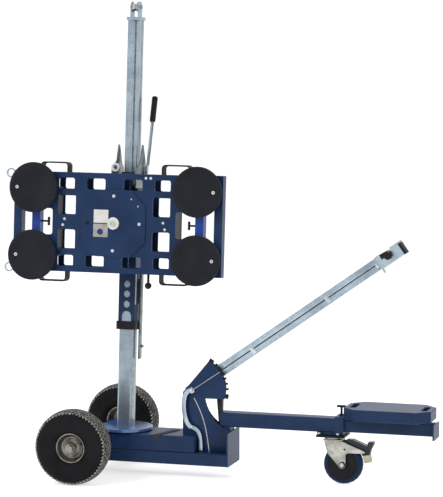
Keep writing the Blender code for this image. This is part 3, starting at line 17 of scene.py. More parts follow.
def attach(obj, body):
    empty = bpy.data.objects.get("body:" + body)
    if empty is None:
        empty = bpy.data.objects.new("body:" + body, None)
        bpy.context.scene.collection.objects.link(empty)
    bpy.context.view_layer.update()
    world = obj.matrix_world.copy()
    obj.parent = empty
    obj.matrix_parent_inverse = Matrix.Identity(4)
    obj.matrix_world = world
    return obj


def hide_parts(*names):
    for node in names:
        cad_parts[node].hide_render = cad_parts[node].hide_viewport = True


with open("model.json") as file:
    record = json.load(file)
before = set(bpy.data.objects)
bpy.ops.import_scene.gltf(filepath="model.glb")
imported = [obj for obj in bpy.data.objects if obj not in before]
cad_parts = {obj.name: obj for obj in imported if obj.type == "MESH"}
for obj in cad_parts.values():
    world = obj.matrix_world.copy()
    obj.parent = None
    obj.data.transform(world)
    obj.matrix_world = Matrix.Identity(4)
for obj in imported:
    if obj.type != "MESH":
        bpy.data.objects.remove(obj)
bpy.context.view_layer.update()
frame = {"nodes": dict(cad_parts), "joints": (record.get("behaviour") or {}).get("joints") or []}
bpy.context.scene.view_settings.view_transform = "Standard"

# %% [markdown]
# ## Places to work from
# The mast leans back a little, so its parts are easier to make in their own upright frame and
# then leaned as one. The same goes for the head, the drawbar and the wheels. Each frame here is
# a matrix that turns local places into places on the lifter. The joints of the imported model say
# where most of the frames stand, so a wheel's axle or the drawbar's pivot is written only once.

# %% Frames of the leaning and turning parts
def at(x, y, z):
    return Matrix.Translation((x, y, z))


def tilted(axis, degrees):
    return Matrix.Rotation(math.radians(degrees), 4, axis)


JOINT = {joint["name"]: joint["pos_m"] for joint in frame["joints"] if "pos_m" in joint}
TYRE_RADIUS = JOINT["wheel_near_spin"][2]
MAST_LEAN = -5.3
DRAWBAR_SLOPE = -35.3
HEAD_UP_THE_MAST = 0.818
MAST = at(*JOINT["mast_swivel"]) @ tilted("X", MAST_LEAN)
HEAD = MAST @ at(0, 0, HEAD_UP_THE_MAST)
DRAWBAR = at(*JOINT["drawbar_tilt"]) @ tilted("Y", DRAWBAR_SLOPE)
IN_PLACE = Matrix.Identity(4)
FACING_FRONT = tilted("X", 90)
SIDEWAYS = tilted("Y", 90)
ALONG_X = Matrix(((0, 0, 1, 0), (1, 0, 0, 0), (0, 1, 0, 0), (0, 0, 0, 1)))
NEAR_AND_FAR = {"near": -1, "far": 1}
FACING_OUT = {-1: FACING_FRONT, 1: tilted("X", -90)}
print("head stands at", [round(value, 3) for value in HEAD.translation])

# %% [markdown]
# ## Camera
# The photograph was taken from far away with a long lens, a little above the head and to the
# right of the front. A long lens keeps upright edges nearly parallel, which is why the
# photograph looks so flat. The place and lens were found by matching measured points.

# %% Camera
CAMERA_PLACE = (3.3119, -11.229, 2.393)
LOOK_DOWN = 7.18
LOOK_LEFT = 16.46
LENS = 215.8


def show(name, data):
    """Adds an object with this data to the scene."""
    shown = bpy.data.objects.new(name, data)
    bpy.context.scene.collection.objects.link(shown)
    return shown


camera_data = bpy.data.cameras.new("camera")
camera_data.sensor_width = 36
camera_data.lens = LENS
camera = show("camera", camera_data)
camera.location = CAMERA_PLACE
camera.rotation_euler = (math.radians(90 - LOOK_DOWN), 0, math.radians(LOOK_LEFT))
bpy.context.scene.camera = camera
print("lens", LENS, "mm")

# %% [markdown]
# ## Node helpers
# Every finish below is built from nodes. A few short helpers keep that readable. They add a node
# and fill its inputs, either with a value or with a link, do sums, mix two colours and start a
# group with named inputs and outputs.

# %% Helpers for node trees
FLOAT = "NodeSocketFloat"
COLOUR = "NodeSocketColor"


def fill(tree, node, inputs):
    """Fills a node's inputs, each with a plain value or with a link."""
    for name, value in inputs.items():
        if isinstance(value, bpy.types.NodeSocket):
            tree.links.new(value, node.inputs[name])
        else:
            node.inputs[name].default_value = value


def add(tree, kind, inputs=None, **settings):
    """Adds a node, fills it and gives back its outputs."""
    made = tree.nodes.new(kind)
    for name, value in settings.items():
        setattr(made, name, value)
    fill(tree, made, inputs or {})
    return made.outputs


# %% Sums, mixes and noise
def maths(tree, operation, *values):
    return add(tree, "ShaderNodeMath", dict(enumerate(values)), operation=operation)[0]


def vectors(tree, operation, *values):
    return add(tree, "ShaderNodeVectorMath", dict(enumerate(values)), operation=operation)


def ramp(tree, value, low, high):
    """Nought at the low value, one at the high value and even in between."""
    inputs = {"Value": value, "From Min": low, "From Max": high}
    return add(tree, "ShaderNodeMapRange", inputs)["Result"]


def mixed(tree, factor, first, second):
    return add(tree, "ShaderNodeMix", {0: factor, 6: first, 7: second}, data_type="RGBA")[2]


def noise(tree, scale, detail, roughness=0.5, place=None):
    """Noise on object coordinates, so that the pattern stays put when a part moves."""
    place = place or add(tree, "ShaderNodeTexCoord")["Object"]
    inputs = {"Vector": place, "Scale": scale, "Detail": detail, "Roughness": roughness}
    return add(tree, "ShaderNodeTexNoise", inputs)["Fac"]


# %% A new group
def new_group(name, inputs, outputs, kind="ShaderNodeTree"):
    """An empty group: its tree, the sockets it is given and the node for its results."""
    tree = bpy.data.node_groups.new(name, kind)
    for label, socket_kind, value in inputs:
        socket = tree.interface.new_socket(name=label, in_out="INPUT", socket_type=socket_kind)
        if value is not None:
            socket.default_value = value
    for label, socket_kind in outputs:
        tree.interface.new_socket(name=label, in_out="OUTPUT", socket_type=socket_kind)
    return tree, tree.nodes.new("NodeGroupInput").outputs, tree.nodes.new("NodeGroupOutput")


print("helpers ready")

# %% [markdown]
# ## Colour that is never quite even
# Powder paint, zinc and rubber all vary a little from place to place. One group makes that
# variation for all of them: broad patches, with a fine grain over them, both from noise.

# %% Shader group: uneven colour
PATCH_SHARE = 0.75
uneven, given, result = new_group(
    "uneven_colour",
    [
        ("Light", COLOUR, (0.5, 0.5, 0.5, 1)),
        ("Dark", COLOUR, (0.4, 0.4, 0.4, 1)),
        ("Patches", FLOAT, 9.0),
        ("Grain", FLOAT, 220.0),
    ],
    [("Colour", COLOUR), ("Grain Height", FLOAT)],
)
patches = noise(uneven, given["Patches"], detail=3.0, roughness=0.6)
grain = noise(uneven, given["Grain"], detail=2.0)
both = maths(uneven, "MULTIPLY", patches, PATCH_SHARE)
both = maths(uneven, "MULTIPLY_ADD", grain, 1 - PATCH_SHARE, both)
colour = mixed(uneven, ramp(uneven, both, 0.35, 0.65), given["Dark"], given["Light"])
fill(uneven, result, {"Colour": colour, "Grain Height": grain})
print("uneven colour group:", len(uneven.nodes), "nodes")

# %% [markdown]
# ## Worn edges and painted edge highlights
# Paint thins and rubs away along corners first. The Bevel node rounds the shading normal near
# an edge, so where it differs from the true normal there is an edge. Noise breaks the line up,
# because wear comes in chips and not in a stripe. The group gives out only a mask.
# On the zinc finishes the same mask also paints a near white highlight along rounded corners.

# %% Shader group: worn edges and painted edge highlights
worn_and_lit, given, result = new_group(
    "worn_edges",
    [("Reach", FLOAT, 0.003), ("Chips", FLOAT, 60.0), ("Amount", FLOAT, 0.6)],
    [("Mask", FLOAT)],
)
bevelled = add(worn_and_lit, "ShaderNodeBevel", {"Radius": given["Reach"]}, samples=4)["Normal"]
true_normal = add(worn_and_lit, "ShaderNodeNewGeometry")["Normal"]
likeness = vectors(worn_and_lit, "DOT_PRODUCT", bevelled, true_normal)["Value"]
edge = ramp(worn_and_lit, likeness, 0.995, 0.86)
chips = ramp(worn_and_lit, noise(worn_and_lit, given["Chips"], detail=4.0, roughness=0.7), 0.40, 0.66)
mask = maths(worn_and_lit, "MULTIPLY", maths(worn_and_lit, "MULTIPLY", edge, chips), given["Amount"])
fill(worn_and_lit, result, {"Mask": mask})
print("worn edges group:", len(worn_and_lit.nodes), "nodes")

# %% [markdown]
# ## Scuffs
# Handling leaves fine scratches that change the gloss. This group takes a finish's roughness and
# lets it swing a little up and down, by noise that is stretched so that it reads as wiping marks.

# %% Shader group: scuffs
STRETCH = (1.0, 1.0, 4.0)
scuffed, given, result = new_group(
    "scuffed_gloss",
    [("Roughness", FLOAT, 0.5), ("Spread", FLOAT, 0.12), ("Scale", FLOAT, 24.0)],
    [("Value", FLOAT)],
)
place = add(scuffed, "ShaderNodeTexCoord")["Object"]
stretched = add(scuffed, "ShaderNodeMapping", {"Vector": place, "Scale": STRETCH})["Vector"]
marks = noise(scuffed, given["Scale"], detail=5.0, roughness=0.65, place=stretched)
centred = maths(scuffed, "SUBTRACT", marks, 0.5)
swing = maths(scuffed, "MULTIPLY_ADD", centred, given["Spread"], given["Roughness"])
fill(scuffed, result, {"Value": swing})
print("scuffed gloss group:", len(scuffed.nodes), "nodes")

# %% [markdown]
# ## The finishes
# Each finish names its light and dark tone, how rough it is and what shows at its edges,
# and where it needs to, how coarse its patches and grain are. Paint wears to a paler paint and
# rubber to a dusty grey. On zinc the near white edge colour is partly rubbed bright metal and
# partly a painted highlight along the corners. The shader stays in the material itself.

# %% A function that builds one finish
GRAIN_DEPTH = 0.0003
GRAIN_STRENGTH = 0.3
COAT_ROUGHNESS = 0.25


def finish(name, light, dark, roughness, edge_wear_and_highlight, metallic=0.0, coat=0.0, specular=0.15, **look):
    """A material; look may name patches, grain, reach, chips, amount and spread."""
    material = bpy.data.materials.new(name)
    material.use_nodes = True
    tree = material.node_tree

    def placed(group, names, **values):
        values |= {key.capitalize(): look[key] for key in names if key in look}
        return add(tree, "ShaderNodeGroup", values, node_tree=group)

    tone = placed(uneven, ("patches", "grain"), Light=(*light, 1), Dark=(*dark, 1))
    # Edge mask: rubbed edges on paint and rubber, and on zinc rubbed edges with a painted highlight.
    edges = placed(worn_and_lit, ("reach", "chips", "amount"))
    gloss = placed(scuffed, ("spread",), Roughness=roughness)
    height = {"Height": tone["Grain Height"], "Distance": GRAIN_DEPTH, "Strength": GRAIN_STRENGTH}
    inputs = {
        "Base Color": mixed(tree, edges["Mask"], tone["Colour"], (*edge_wear_and_highlight, 1)),
        "Roughness": gloss["Value"],
        "Normal": add(tree, "ShaderNodeBump", height)["Normal"],
        "Metallic": metallic,
        "Coat Weight": coat,
        "Coat Roughness": COAT_ROUGHNESS,
        "Specular IOR Level": specular,
    }
    fill(tree, tree.nodes["Principled BSDF"], inputs)
    return material


# %% [markdown]
# ## Paints, metals, rubbers and plastics
# The steelwork is powder coated navy, the sliding inner bars a brighter blue and the disc under
# the mast a glossy one. The mast, drawbar and lever are zinc plated, the caster a warmer, yellower
# zinc. Colours are written in linear light and were set against the photograph, a little darker
# than it shows because glossy paint adds its own pale reflection of the studio.

# %% Paints
NAVY = finish(
    "navy_powder_coat", (0.0145, 0.039, 0.106), (0.0078, 0.0235, 0.069), 0.4, (0.09, 0.12, 0.19),
    coat=0.08, patches=7.0, grain=420.0, amount=0.45,
)
BRIGHT_BLUE = finish(
    "bright_blue_powder_coat", (0.017, 0.063, 0.33), (0.01, 0.043, 0.23), 0.38, (0.15, 0.22, 0.45),
    coat=0.2, grain=420.0, amount=0.4,
)
DISC_BLUE = finish(
    "glossy_blue_paint", (0.06, 0.15, 0.39), (0.026, 0.074, 0.23), 0.22, (0.35, 0.47, 0.72),
    coat=1.0, amount=0.6, specular=0.5,
)
SLATE = finish(
    "slate_rod", (0.05, 0.075, 0.105), (0.025, 0.04, 0.06), 0.45, (0.12, 0.14, 0.17),
    patches=30.0,
)
PEDAL_GREEN = finish(
    "dark_pedal", (0.06, 0.075, 0.078), (0.025, 0.033, 0.036), 0.35, (0.25, 0.27, 0.26),
    metallic=0.3,
)
print("paints:", len(bpy.data.materials))

# %% Metals
# The near white edge colour of the two zinc finishes, at full amount, is partly rubbed metal and partly
# a painted highlight on the corners.
ZINC = finish(
    "zinc_plate", (0.44, 0.53, 0.6), (0.25, 0.32, 0.385), 0.32, (0.84, 0.89, 0.93),
    metallic=0.85, reach=0.0028, amount=1.0, patches=11.0, grain=160.0, spread=0.22,
)
TUBE_ZINC = finish(
    "galvanised_tube", (0.38, 0.455, 0.51), (0.205, 0.26, 0.31), 0.34, (0.9, 0.93, 0.95),
    metallic=0.8, reach=0.006, amount=1.0, patches=8.0, grain=140.0, spread=0.2,
)
WARM_ZINC = finish(
    "warm_zinc_plate", (0.52, 0.51, 0.44), (0.19, 0.205, 0.205), 0.3, (0.74, 0.72, 0.64),
    metallic=0.85, patches=24.0, spread=0.22,
)
CHEEK_STEEL = finish(
    "dark_galvanised", (0.23, 0.27, 0.275), (0.085, 0.105, 0.108), 0.3, (0.5, 0.54, 0.55),
    metallic=0.85, patches=26.0, grain=140.0,
)
DARK_STEEL = finish(
    "dark_steel", (0.04, 0.038, 0.03), (0.018, 0.017, 0.014), 0.5, (0.12, 0.11, 0.09),
    metallic=0.4,
)
RIM_STEEL = finish(
    "rim_steel", (0.34, 0.325, 0.285), (0.09, 0.086, 0.076), 0.34, (0.64, 0.62, 0.56),
    metallic=0.9, patches=26.0, spread=0.25,
)
BRIGHT_STEEL = finish(
    "bright_steel", (0.64, 0.64, 0.63), (0.45, 0.45, 0.44), 0.25, (0.75, 0.75, 0.74),
    metallic=1.0, patches=30.0,
)
PALE_STEEL = finish(
    "pale_plated_steel", (0.78, 0.79, 0.79), (0.56, 0.57, 0.58), 0.3, (0.85, 0.85, 0.84),
    metallic=0.35, patches=40.0,
)
CHROME = finish(
    "bright_chrome", (0.56, 0.6, 0.63), (0.38, 0.42, 0.45), 0.18, (0.7, 0.72, 0.74),
    metallic=1.0, patches=20.0,
)
YELLOW_STEEL = finish(
    "yellow_passivated_steel", (0.62, 0.6, 0.43), (0.42, 0.4, 0.26), 0.32, (0.7, 0.68, 0.52),
    metallic=0.6, patches=50.0,
)
print("paints and metals:", len(bpy.data.materials))

# %% Rubbers, plastics and webbing
TYRE_RUBBER = finish(
    "tyre_rubber", (0.009, 0.0094, 0.0108), (0.0036, 0.0038, 0.0046), 0.62, (0.075, 0.074, 0.07),
    patches=12.0, grain=520.0, chips=45.0, amount=0.75, reach=0.0016,
)
PALE_LUG_RUBBER = finish(
    "worn_rubber", (0.52, 0.515, 0.485), (0.07, 0.069, 0.065), 0.6, (0.24, 0.225, 0.19),
    patches=60.0, grain=520.0,
)
CASTER_TREAD = finish(
    "caster_tread", (0.008, 0.029, 0.078), (0.004, 0.016, 0.045), 0.46, (0.06, 0.07, 0.1),
    patches=16.0, grain=300.0, amount=0.5,
)
CUP_RUBBER = finish(
    "cup_rubber", (0.02, 0.022, 0.028), (0.0135, 0.015, 0.0195), 0.78, (0.06, 0.062, 0.07),
    patches=10.0, grain=600.0, amount=0.35,
)
GRIP_RUBBER = finish(
    "grip_rubber", (0.016, 0.0165, 0.0185), (0.009, 0.009, 0.011), 0.58, (0.05, 0.05, 0.052),
    grain=700.0, amount=0.3,
)
BLACK_PLASTIC = finish(
    "black_plastic", (0.013, 0.0135, 0.0155), (0.008, 0.008, 0.0095), 0.42, (0.06, 0.06, 0.062),
    grain=380.0, amount=0.4,
)
CREAM = finish(
    "cream_plastic", (0.62, 0.6, 0.48), (0.45, 0.43, 0.33), 0.5, (0.7, 0.68, 0.58),
    patches=40.0,
)
LABEL_WHITE = finish(
    "white_label_plastic", (0.78, 0.77, 0.74), (0.64, 0.63, 0.6), 0.45, (0.7, 0.69, 0.66),
    patches=30.0, grain=500.0,
)
LABEL_GREY = finish(
    "grey_label_plastic", (0.4, 0.39, 0.37), (0.29, 0.29, 0.28), 0.42, (0.5, 0.49, 0.47),
    patches=30.0, grain=500.0,
)
WEBBING = finish(
    "olive_webbing", (0.06, 0.064, 0.052), (0.03, 0.032, 0.027), 0.85, (0.1, 0.1, 0.09),
    grain=900.0,
)
print("finishes:", len(bpy.data.materials))

# %% [markdown]
# ## Tools for making pieces
# Each piece is made in its own upright place, where its sizes are easy to read, and is then put
# where it belongs by changing its mesh. Turned shapes come from a profile that is spun, flat
# parts from an outline with a thickness, and wires from a round section carried along a line.
# Real edges are never quite sharp, so the outlines get a small rounding.

# %% Outlines
def arc(centre, radius, first, last, steps):
    """Points on an arc from one angle to another, in degrees."""
    angles = [math.radians(first + (last - first) * step / steps) for step in range(steps + 1)]
    return [(centre[0] + radius * math.cos(t), centre[1] + radius * math.sin(t)) for t in angles]


def mirrored(half):
    """A closed profile from its upper half."""
    lower = [(radius, -height) for radius, height in reversed(half) if height]
    return half + lower + half[:1]


# %% Turned shapes and rounded edges
SHARP = math.radians(25)


def revolve(profile, steps):
    """A turned solid: (radius, height) points from the front of the axis round to its back."""
    bm = bmesh.new()
    verts = [bm.verts.new((radius, 0, height)) for radius, height in profile]
    edges = [bm.edges.new(pair) for pair in zip(verts, verts[1:])]
    spun = {"geom": verts + edges, "axis": (0, 0, 1), "cent": (0, 0, 0)}
    bmesh.ops.spin(bm, angle=math.tau, steps=steps, **spun)
    bmesh.ops.remove_doubles(bm, verts=bm.verts, dist=0.00001)
    return bm


def soften(bm, width):
    """Rounds every edge at which the faces turn by more than a few degrees."""
    bmesh.ops.recalc_face_normals(bm, faces=bm.faces)
    sharp = [edge for edge in bm.edges if edge.is_manifold and edge.calc_face_angle() > SHARP]
    bmesh.ops.bevel(bm, geom=sharp, offset=width, segments=2, affect="EDGES", profile=0.5)
    return bm


# %% Slabs and blocks
def slab(outline, low, high, edge):
    """A flat piece with an outline in X and Y, from one height to another."""
    bm = bmesh.new()
    face = bm.faces.new([bm.verts.new((x, y, low)) for x, y in outline])
    grown = bmesh.ops.extrude_face_region(bm, geom=[face])
    moved = [item for item in grown["geom"] if isinstance(item, bmesh.types.BMVert)]
    bmesh.ops.translate(bm, verts=moved, vec=(0, 0, high - low))
    return soften(bm, edge)


def block(size, centre, edge):
    bm = bmesh.new()
    bmesh.ops.create_cube(bm, size=1, matrix=at(*centre) @ Matrix.Diagonal((*size, 1)))
    return soften(bm, edge)


# %% Wires and screw heads
SOCKET_SHARE = 0.45
ROUND = 24


def close_between(bm, first, second):
    """Joins two loops of as many points by a band of faces."""
    for side in range(len(first)):
        after = (side + 1) % len(first)
        bm.faces.new((first[side], first[after], second[after], second[side]))


def wire(points, radius, sides=12):
    """A round bar along a line of points, closed at both ends."""
    bm = bmesh.new()
    line = [Vector(point) for point in points]
    turns = [math.tau * side / sides for side in range(sides)]
    rings = []
    for index, point in enumerate(line):
        ahead = (line[min(index + 1, len(line) - 1)] - line[max(index - 1, 0)]).normalized()
        across = across - ahead * across.dot(ahead) if rings else ahead.orthogonal()
        across.normalize()
        up = ahead.cross(across)
        spots = [point + radius * (across * math.cos(t) + up * math.sin(t)) for t in turns]
        rings.append([bm.verts.new(spot) for spot in spots])
    for first, second in zip(rings, rings[1:]):
        close_between(bm, first, second)
    bm.faces.new(rings[0])
    bm.faces.new(rings[-1])
    return bm


def screw_head(radius, height):
    """A button head with a hexagon socket, facing up from Z = 0."""
    crown = [(0, height), (radius * 0.7, height), (radius * 0.9, height * 0.72)]
    bm = revolve(crown + [(radius, height * 0.3), (radius, 0), (0, 0)], ROUND)
    socket = arc((0, 0), radius * SOCKET_SHARE, 0, 300, 5)
    top = [bm.verts.new((x, y, height * 1.02)) for x, y in socket]
    low = [bm.verts.new((x * 0.96, y * 0.96, height * 0.75)) for x, y in socket]
    close_between(bm, top, low)
    bm.faces.new(low)
    return bm


# %% Putting a piece on the lifter
def mesh_of(bm, name):
    """Turns a shape into a plain mesh."""
    mesh = bpy.data.meshes.new(name)
    bm.to_mesh(mesh)
    bm.free()
    return mesh


def piece(name, shapes, place, material, body, replaces=(), angle=35):
    """Joins shapes into one piece, puts it in place and lets it ride on a body."""
    joined = bmesh.new()
    for shape in shapes:
        shape, local = shape if isinstance(shape, tuple) else (shape, IN_PLACE)
        bmesh.ops.recalc_face_normals(shape, faces=shape.faces)
        part = mesh_of(shape, name + "_part")
        part.transform(local)
        joined.from_mesh(part)
        bpy.data.meshes.remove(part)
    mesh = mesh_of(joined, name)
    mesh.transform(place)
    mesh.shade_smooth()
    mesh.set_sharp_from_angle(angle=math.radians(angle))
    mesh.materials.append(material)
    obj = show(name, mesh)
    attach(obj, body)
    if replaces:
        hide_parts(*replaces)
    return obj


def turned(name, profile, steps, *others):
    """A piece that is one turned solid."""
    return piece(name, [revolve(profile, steps)], *others)


def on_head(x, y, z):
    """A place on the head, facing the front."""
    return HEAD @ at(x, y, z) @ FACING_FRONT


print("tools for pieces ready")

# %% [markdown]
# ## Finishes for the nodes that stay
# Most of the solids already have the right shape, so they only need a better finish in their
# material slots. The table goes by finish, because that is how the real parts are sorted: what
# is painted together, what is plated together, and what is bought in.

# %% Give each kept node its finish
KEPT = {
    NAVY: """chassis_frame deck_cover axle_beam boom_tube ballast_carrier counterweight
        upright_plate_far carriage_sleeve head_front_plate head_rear_plate hub_plate
        arm_frame_left arm_frame_right""",
    DISC_BLUE: "turntable_disc",
    BRIGHT_BLUE: "arm_inner_bar_left arm_inner_bar_right",
    ZINC: "head_pivot hoist_lever_arm drawbar_head mast_cap",
    WARM_ZINC: "caster_fork caster_axle_bolt",
    BRIGHT_STEEL: "turntable_bearing turntable_kingpin rope_sheave drawbar_pivot_bolt",
    RIM_STEEL: "axle_shaft",
    GRIP_RUBBER: "handle_top_left handle_top_right handle_bottom_left handle_bottom_right",
    BLACK_PLASTIC: """boom_lock_pin caster_plate caster_core guide_band
        arm_guide_left arm_guide_right battery vacuum_pump index_plunger arm_lock_left
        arm_lock_right release_trigger""",
    CASTER_TREAD: "caster_tread",
}
for material, names in KEPT.items():
    for name in names.split():
        for slot in frame["nodes"][name].material_slots:
            slot.material = material
print("nodes with a finish:", sum(len(names.split()) for names in KEPT.values()))

# %% [markdown]
# ## Tyres with a block tread
# The tyres are small pneumatic trolley tyres. Their tread is a field of diamond lugs in seven
# staggered rows that wrap over the shoulders. On the real tyre a mould forms them. Here Geometry
# Nodes set one lug on every point of seven rings, because a rule with a count, a radius and a row
# spacing is all that the pattern needs, and the same tree serves both tyres.

# %% One lug
LUG_HEIGHT = 0.0047
LUG_LONG = 0.0106
LUG_WIDE = 0.0069
LUG_ROOT = -0.002


def lug_mesh():
    bm = bmesh.new()
    corners = ((LUG_WIDE, 0), (0, LUG_LONG), (-LUG_WIDE, 0), (0, -LUG_LONG))
    loops = []
    for height, share in ((LUG_ROOT, 1.08), (LUG_HEIGHT * 0.86, 0.86), (LUG_HEIGHT, 0.74)):
        loops.append([bm.verts.new((x * share, y * share, height)) for x, y in corners])
    for lower, upper in zip(loops, loops[1:]):
        close_between(bm, lower, upper)
    bm.faces.new(loops[-1])
    bmesh.ops.recalc_face_normals(bm, faces=bm.faces)
    return mesh_of(bm, "tread_lug")


lug = show("tread_lug", lug_mesh())
print("lug:", len(lug.data.polygons), "faces")

# %% Geometry Nodes: what the tread is given
GEOMETRY = "NodeSocketGeometry"
MATERIAL = "NodeSocketMaterial"
tread, given, result = new_group(
    "block_tread",
    [
        ("Carcass", GEOMETRY, None),
        ("Lug", "NodeSocketObject", None),
        ("Lugs in a ring", "NodeSocketInt", 60),
        ("Rows", "NodeSocketInt", 7),
        ("Row spacing", FLOAT, 0.012),
        ("Ring radius", FLOAT, TYRE_RADIUS - LUG_HEIGHT),
        ("Shoulder drop", FLOAT, 27.0),
        ("Rubber", MATERIAL, None),
        ("Worn rubber", MATERIAL, None),
    ],
    [("Geometry", GEOMETRY)],
    "GeometryNodeTree",
)


def vector(x=0.0, y=0.0, z=0.0):
    return add(tread, "ShaderNodeCombineXYZ", {"X": x, "Y": y, "Z": z})[0]


print("tread is given:", [socket.name for socket in given if socket.name])

# %% Rings of points, each turned by half a pitch against the one before
gaps = maths(tread, "SUBTRACT", given["Rows"], 1.0)
width = maths(tread, "MULTIPLY", gaps, given["Row spacing"])
line = {
    "Count": given["Rows"],
    "Start Location": vector(z=maths(tread, "MULTIPLY", width, -0.5)),
    "Offset": vector(z=given["Row spacing"]),
}
circle = {"Vertices": given["Lugs in a ring"], "Radius": given["Ring radius"]}
half_pitch = maths(tread, "DIVIDE", math.pi, given["Lugs in a ring"])
row_number = add(tread, "GeometryNodeInputIndex")[0]
on_rows = {
    "Points": add(tread, "GeometryNodeMeshLine", line)[0],
    "Instance": add(tread, "GeometryNodeMeshCircle", circle)[0],
    "Rotation": vector(z=maths(tread, "MULTIPLY", row_number, half_pitch)),
}
rings = add(tread, "GeometryNodeInstanceOnPoints", on_rows)[0]
rings = add(tread, "GeometryNodeRealizeInstances", {"Geometry": rings})[0]
print("tread tree:", len(tread.nodes), "nodes")

# %% Outer rings drop onto the shoulders, and the lugs lean outwards with them
SHOULDER_LEAN = 0.85
ALIGN = "FunctionNodeAlignRotationToVector"
position = add(tread, "GeometryNodeInputPosition")[0]
across = add(tread, "ShaderNodeSeparateXYZ", {"Vector": position})
squared = maths(tread, "MULTIPLY", across["Z"], across["Z"])
share = maths(tread, "SUBTRACT", 1.0, maths(tread, "MULTIPLY", squared, given["Shoulder drop"]))
lowered = vectors(tread, "MULTIPLY", position, vector(share, share, 1.0))[0]
points = add(tread, "GeometryNodeSetPosition", {"Geometry": rings, "Position": lowered})[0]
lean = maths(tread, "MULTIPLY", across["Z"], SHOULDER_LEAN)
outward = vector(across["X"], across["Y"], lean)
facing = add(tread, ALIGN, {"Vector": outward}, axis="Z")[0]
along_axle = {"Rotation": facing, "Vector": (0.0, 0.0, 1.0)}
upright = add(tread, ALIGN, along_axle, axis="Y", pivot_axis="Z")[0]
print("tread tree:", len(tread.nodes), "nodes")

# %% Lugs on the points, joined with the carcass
lug_shape = add(tread, "GeometryNodeObjectInfo", {"Object": given["Lug"]})["Geometry"]
on_points = {"Points": points, "Instance": lug_shape, "Rotation": upright}
lugs = add(tread, "GeometryNodeInstanceOnPoints", on_points)[0]
carcass_and_lugs = tread.nodes.new("GeometryNodeJoinGeometry")
for part in (given["Carcass"], lugs):
    tread.links.new(part, carcass_and_lugs.inputs[0])
solid = {"Geometry": carcass_and_lugs.outputs[0]}
solid = add(tread, "GeometryNodeRealizeInstances", solid)[0]
print("tread tree:", len(tread.nodes), "nodes")

# %% The walls of the lugs are made pale
WALL_LIMIT = 0.8
LUG_START = 0.1425
rubber = {"Geometry": solid, "Material": given["Rubber"]}
normal = add(tread, "GeometryNodeInputNormal")[0]
radial = vectors(tread, "NORMALIZE", outward)[0]
steepness = vectors(tread, "DOT_PRODUCT", normal, radial)["Value"]
from_axle = vectors(tread, "LENGTH", outward)["Value"]
steep = maths(tread, "LESS_THAN", steepness, WALL_LIMIT)
outer = maths(tread, "GREATER_THAN", from_axle, LUG_START)
walls = {
    "Geometry": add(tread, "GeometryNodeSetMaterial", rubber)[0],
    "Selection": maths(tread, "MULTIPLY", steep, outer),
    "Material": given["Worn rubber"],
}
fill(tread, result, {"Geometry": add(tread, "GeometryNodeSetMaterial", walls)[0]})
print("tread tree:", len(tread.nodes), "nodes")

# %% The two tyres
CARCASS_EDGE = [
    (0.057, 0.029), (0.0598, 0.0332), (0.064, 0.0382), (0.07, 0.0424), (0.079, 0.0458),
    (0.083, 0.0474), (0.0845, 0.0468), (0.095, 0.0489), (0.108, 0.0497), (0.118, 0.0494),
    (0.12, 0.0499), (0.122, 0.049), (0.13, 0.0462), (0.1365, 0.042), (0.141, 0.0365),
    (0.1436, 0.03), (0.1452, 0.015), (0.1455, 0.0),
]


def tyre(name):
    bm = revolve(mirrored(CARCASS_EDGE), 96)
    bmesh.ops.recalc_face_normals(bm, faces=bm.faces)
    carcass = mesh_of(bm, "tyre_carcass")
    carcass.shade_smooth()
    made = show("tyre_tread_" + name, carcass)
    modifier = made.modifiers.new("tread", "NODES")
    modifier.node_group = tread
    chosen = {"Lug": lug, "Rubber": TYRE_RUBBER, "Worn rubber": PALE_LUG_RUBBER}
    for item in tread.interface.items_tree:
        if item.in_out == "INPUT" and item.name in chosen:
            modifier[item.identifier] = chosen[item.name]
    seen = made.evaluated_get(bpy.context.evaluated_depsgraph_get())
    solid = bpy.data.meshes.new_from_object(seen)
    made.modifiers.clear()
    made.data = solid
    solid.transform(at(*JOINT[f"wheel_{name}_spin"]) @ FACING_FRONT)
    solid.name = made.name
    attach(made, "wheel_" + name)
    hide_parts("tyre_" + name)
    print(made.name, len(solid.polygons), "faces")


for name in NEAR_AND_FAR:
    tyre(name)
bpy.data.objects.remove(lug)

# %% [markdown]
# ## Rims
# Each rim is pressed from sheet and painted silver: a rolled lip that holds the bead, a deep
# dish, a shallow ring round the hub and a hub tube with a flange. One profile spun about the
# axle gives all of that, because everything on a pressed rim is round.

# %% Rims and valve stems
RIM_PROFILE = [
    (0.0098, 0.0438), (0.018, 0.0438), (0.019, 0.0428), (0.0192, 0.033), (0.0212, 0.031),
    (0.0214, 0.018), (0.024, 0.016), (0.03, 0.0155), (0.0325, 0.017), (0.035, 0.017),
    (0.038, 0.014), (0.0425, 0.015), (0.047, 0.024), (0.0505, 0.0285), (0.053, 0.034),
    (0.0555, 0.0362), (0.0585, 0.036), (0.0595, 0.034), (0.059, 0.0325), (0.0563, 0.029),
    (0.0563, -0.029), (0.059, -0.0325), (0.0595, -0.034), (0.0585, -0.036), (0.0555, -0.0362),
    (0.053, -0.034), (0.052, -0.015), (0.043, 0.0105), (0.024, 0.0115), (0.0214, 0.01),
    (0.0214, -0.042), (0.02, -0.0438), (0.0098, -0.0438),
]
VALVE_STEM = [(0, 0.026), (0.0028, 0.026), (0.0032, 0.022), (0.0042, 0.014), (0.0042, 0.01), (0, 0.01)]
for name, side in NEAR_AND_FAR.items():
    axle = at(*JOINT[f"wheel_{name}_spin"]) @ FACING_OUT[side]
    body = "wheel_" + name
    rim = RIM_PROFILE + RIM_PROFILE[:1]
    turned("rim_pressing_" + name, rim, 72, axle, RIM_STEEL, body, ["rim_" + name])
    stem_place = axle @ at(0.04, 0.016, 0.004)
    turned("valve_stem_" + name, VALVE_STEM, 16, stem_place, BLACK_PLASTIC, body)
print("rims ready")

# %% [markdown]
# ## Suction cups
# Each cup is a round pad of soft rubber with a raised sealing lip, stuck to a stiff backing disc
# with a stud that goes into the arm. The small port on its outer side leads air away and is
# closed here by a bright fitting. Turned profiles suit all three, since the cup is round.

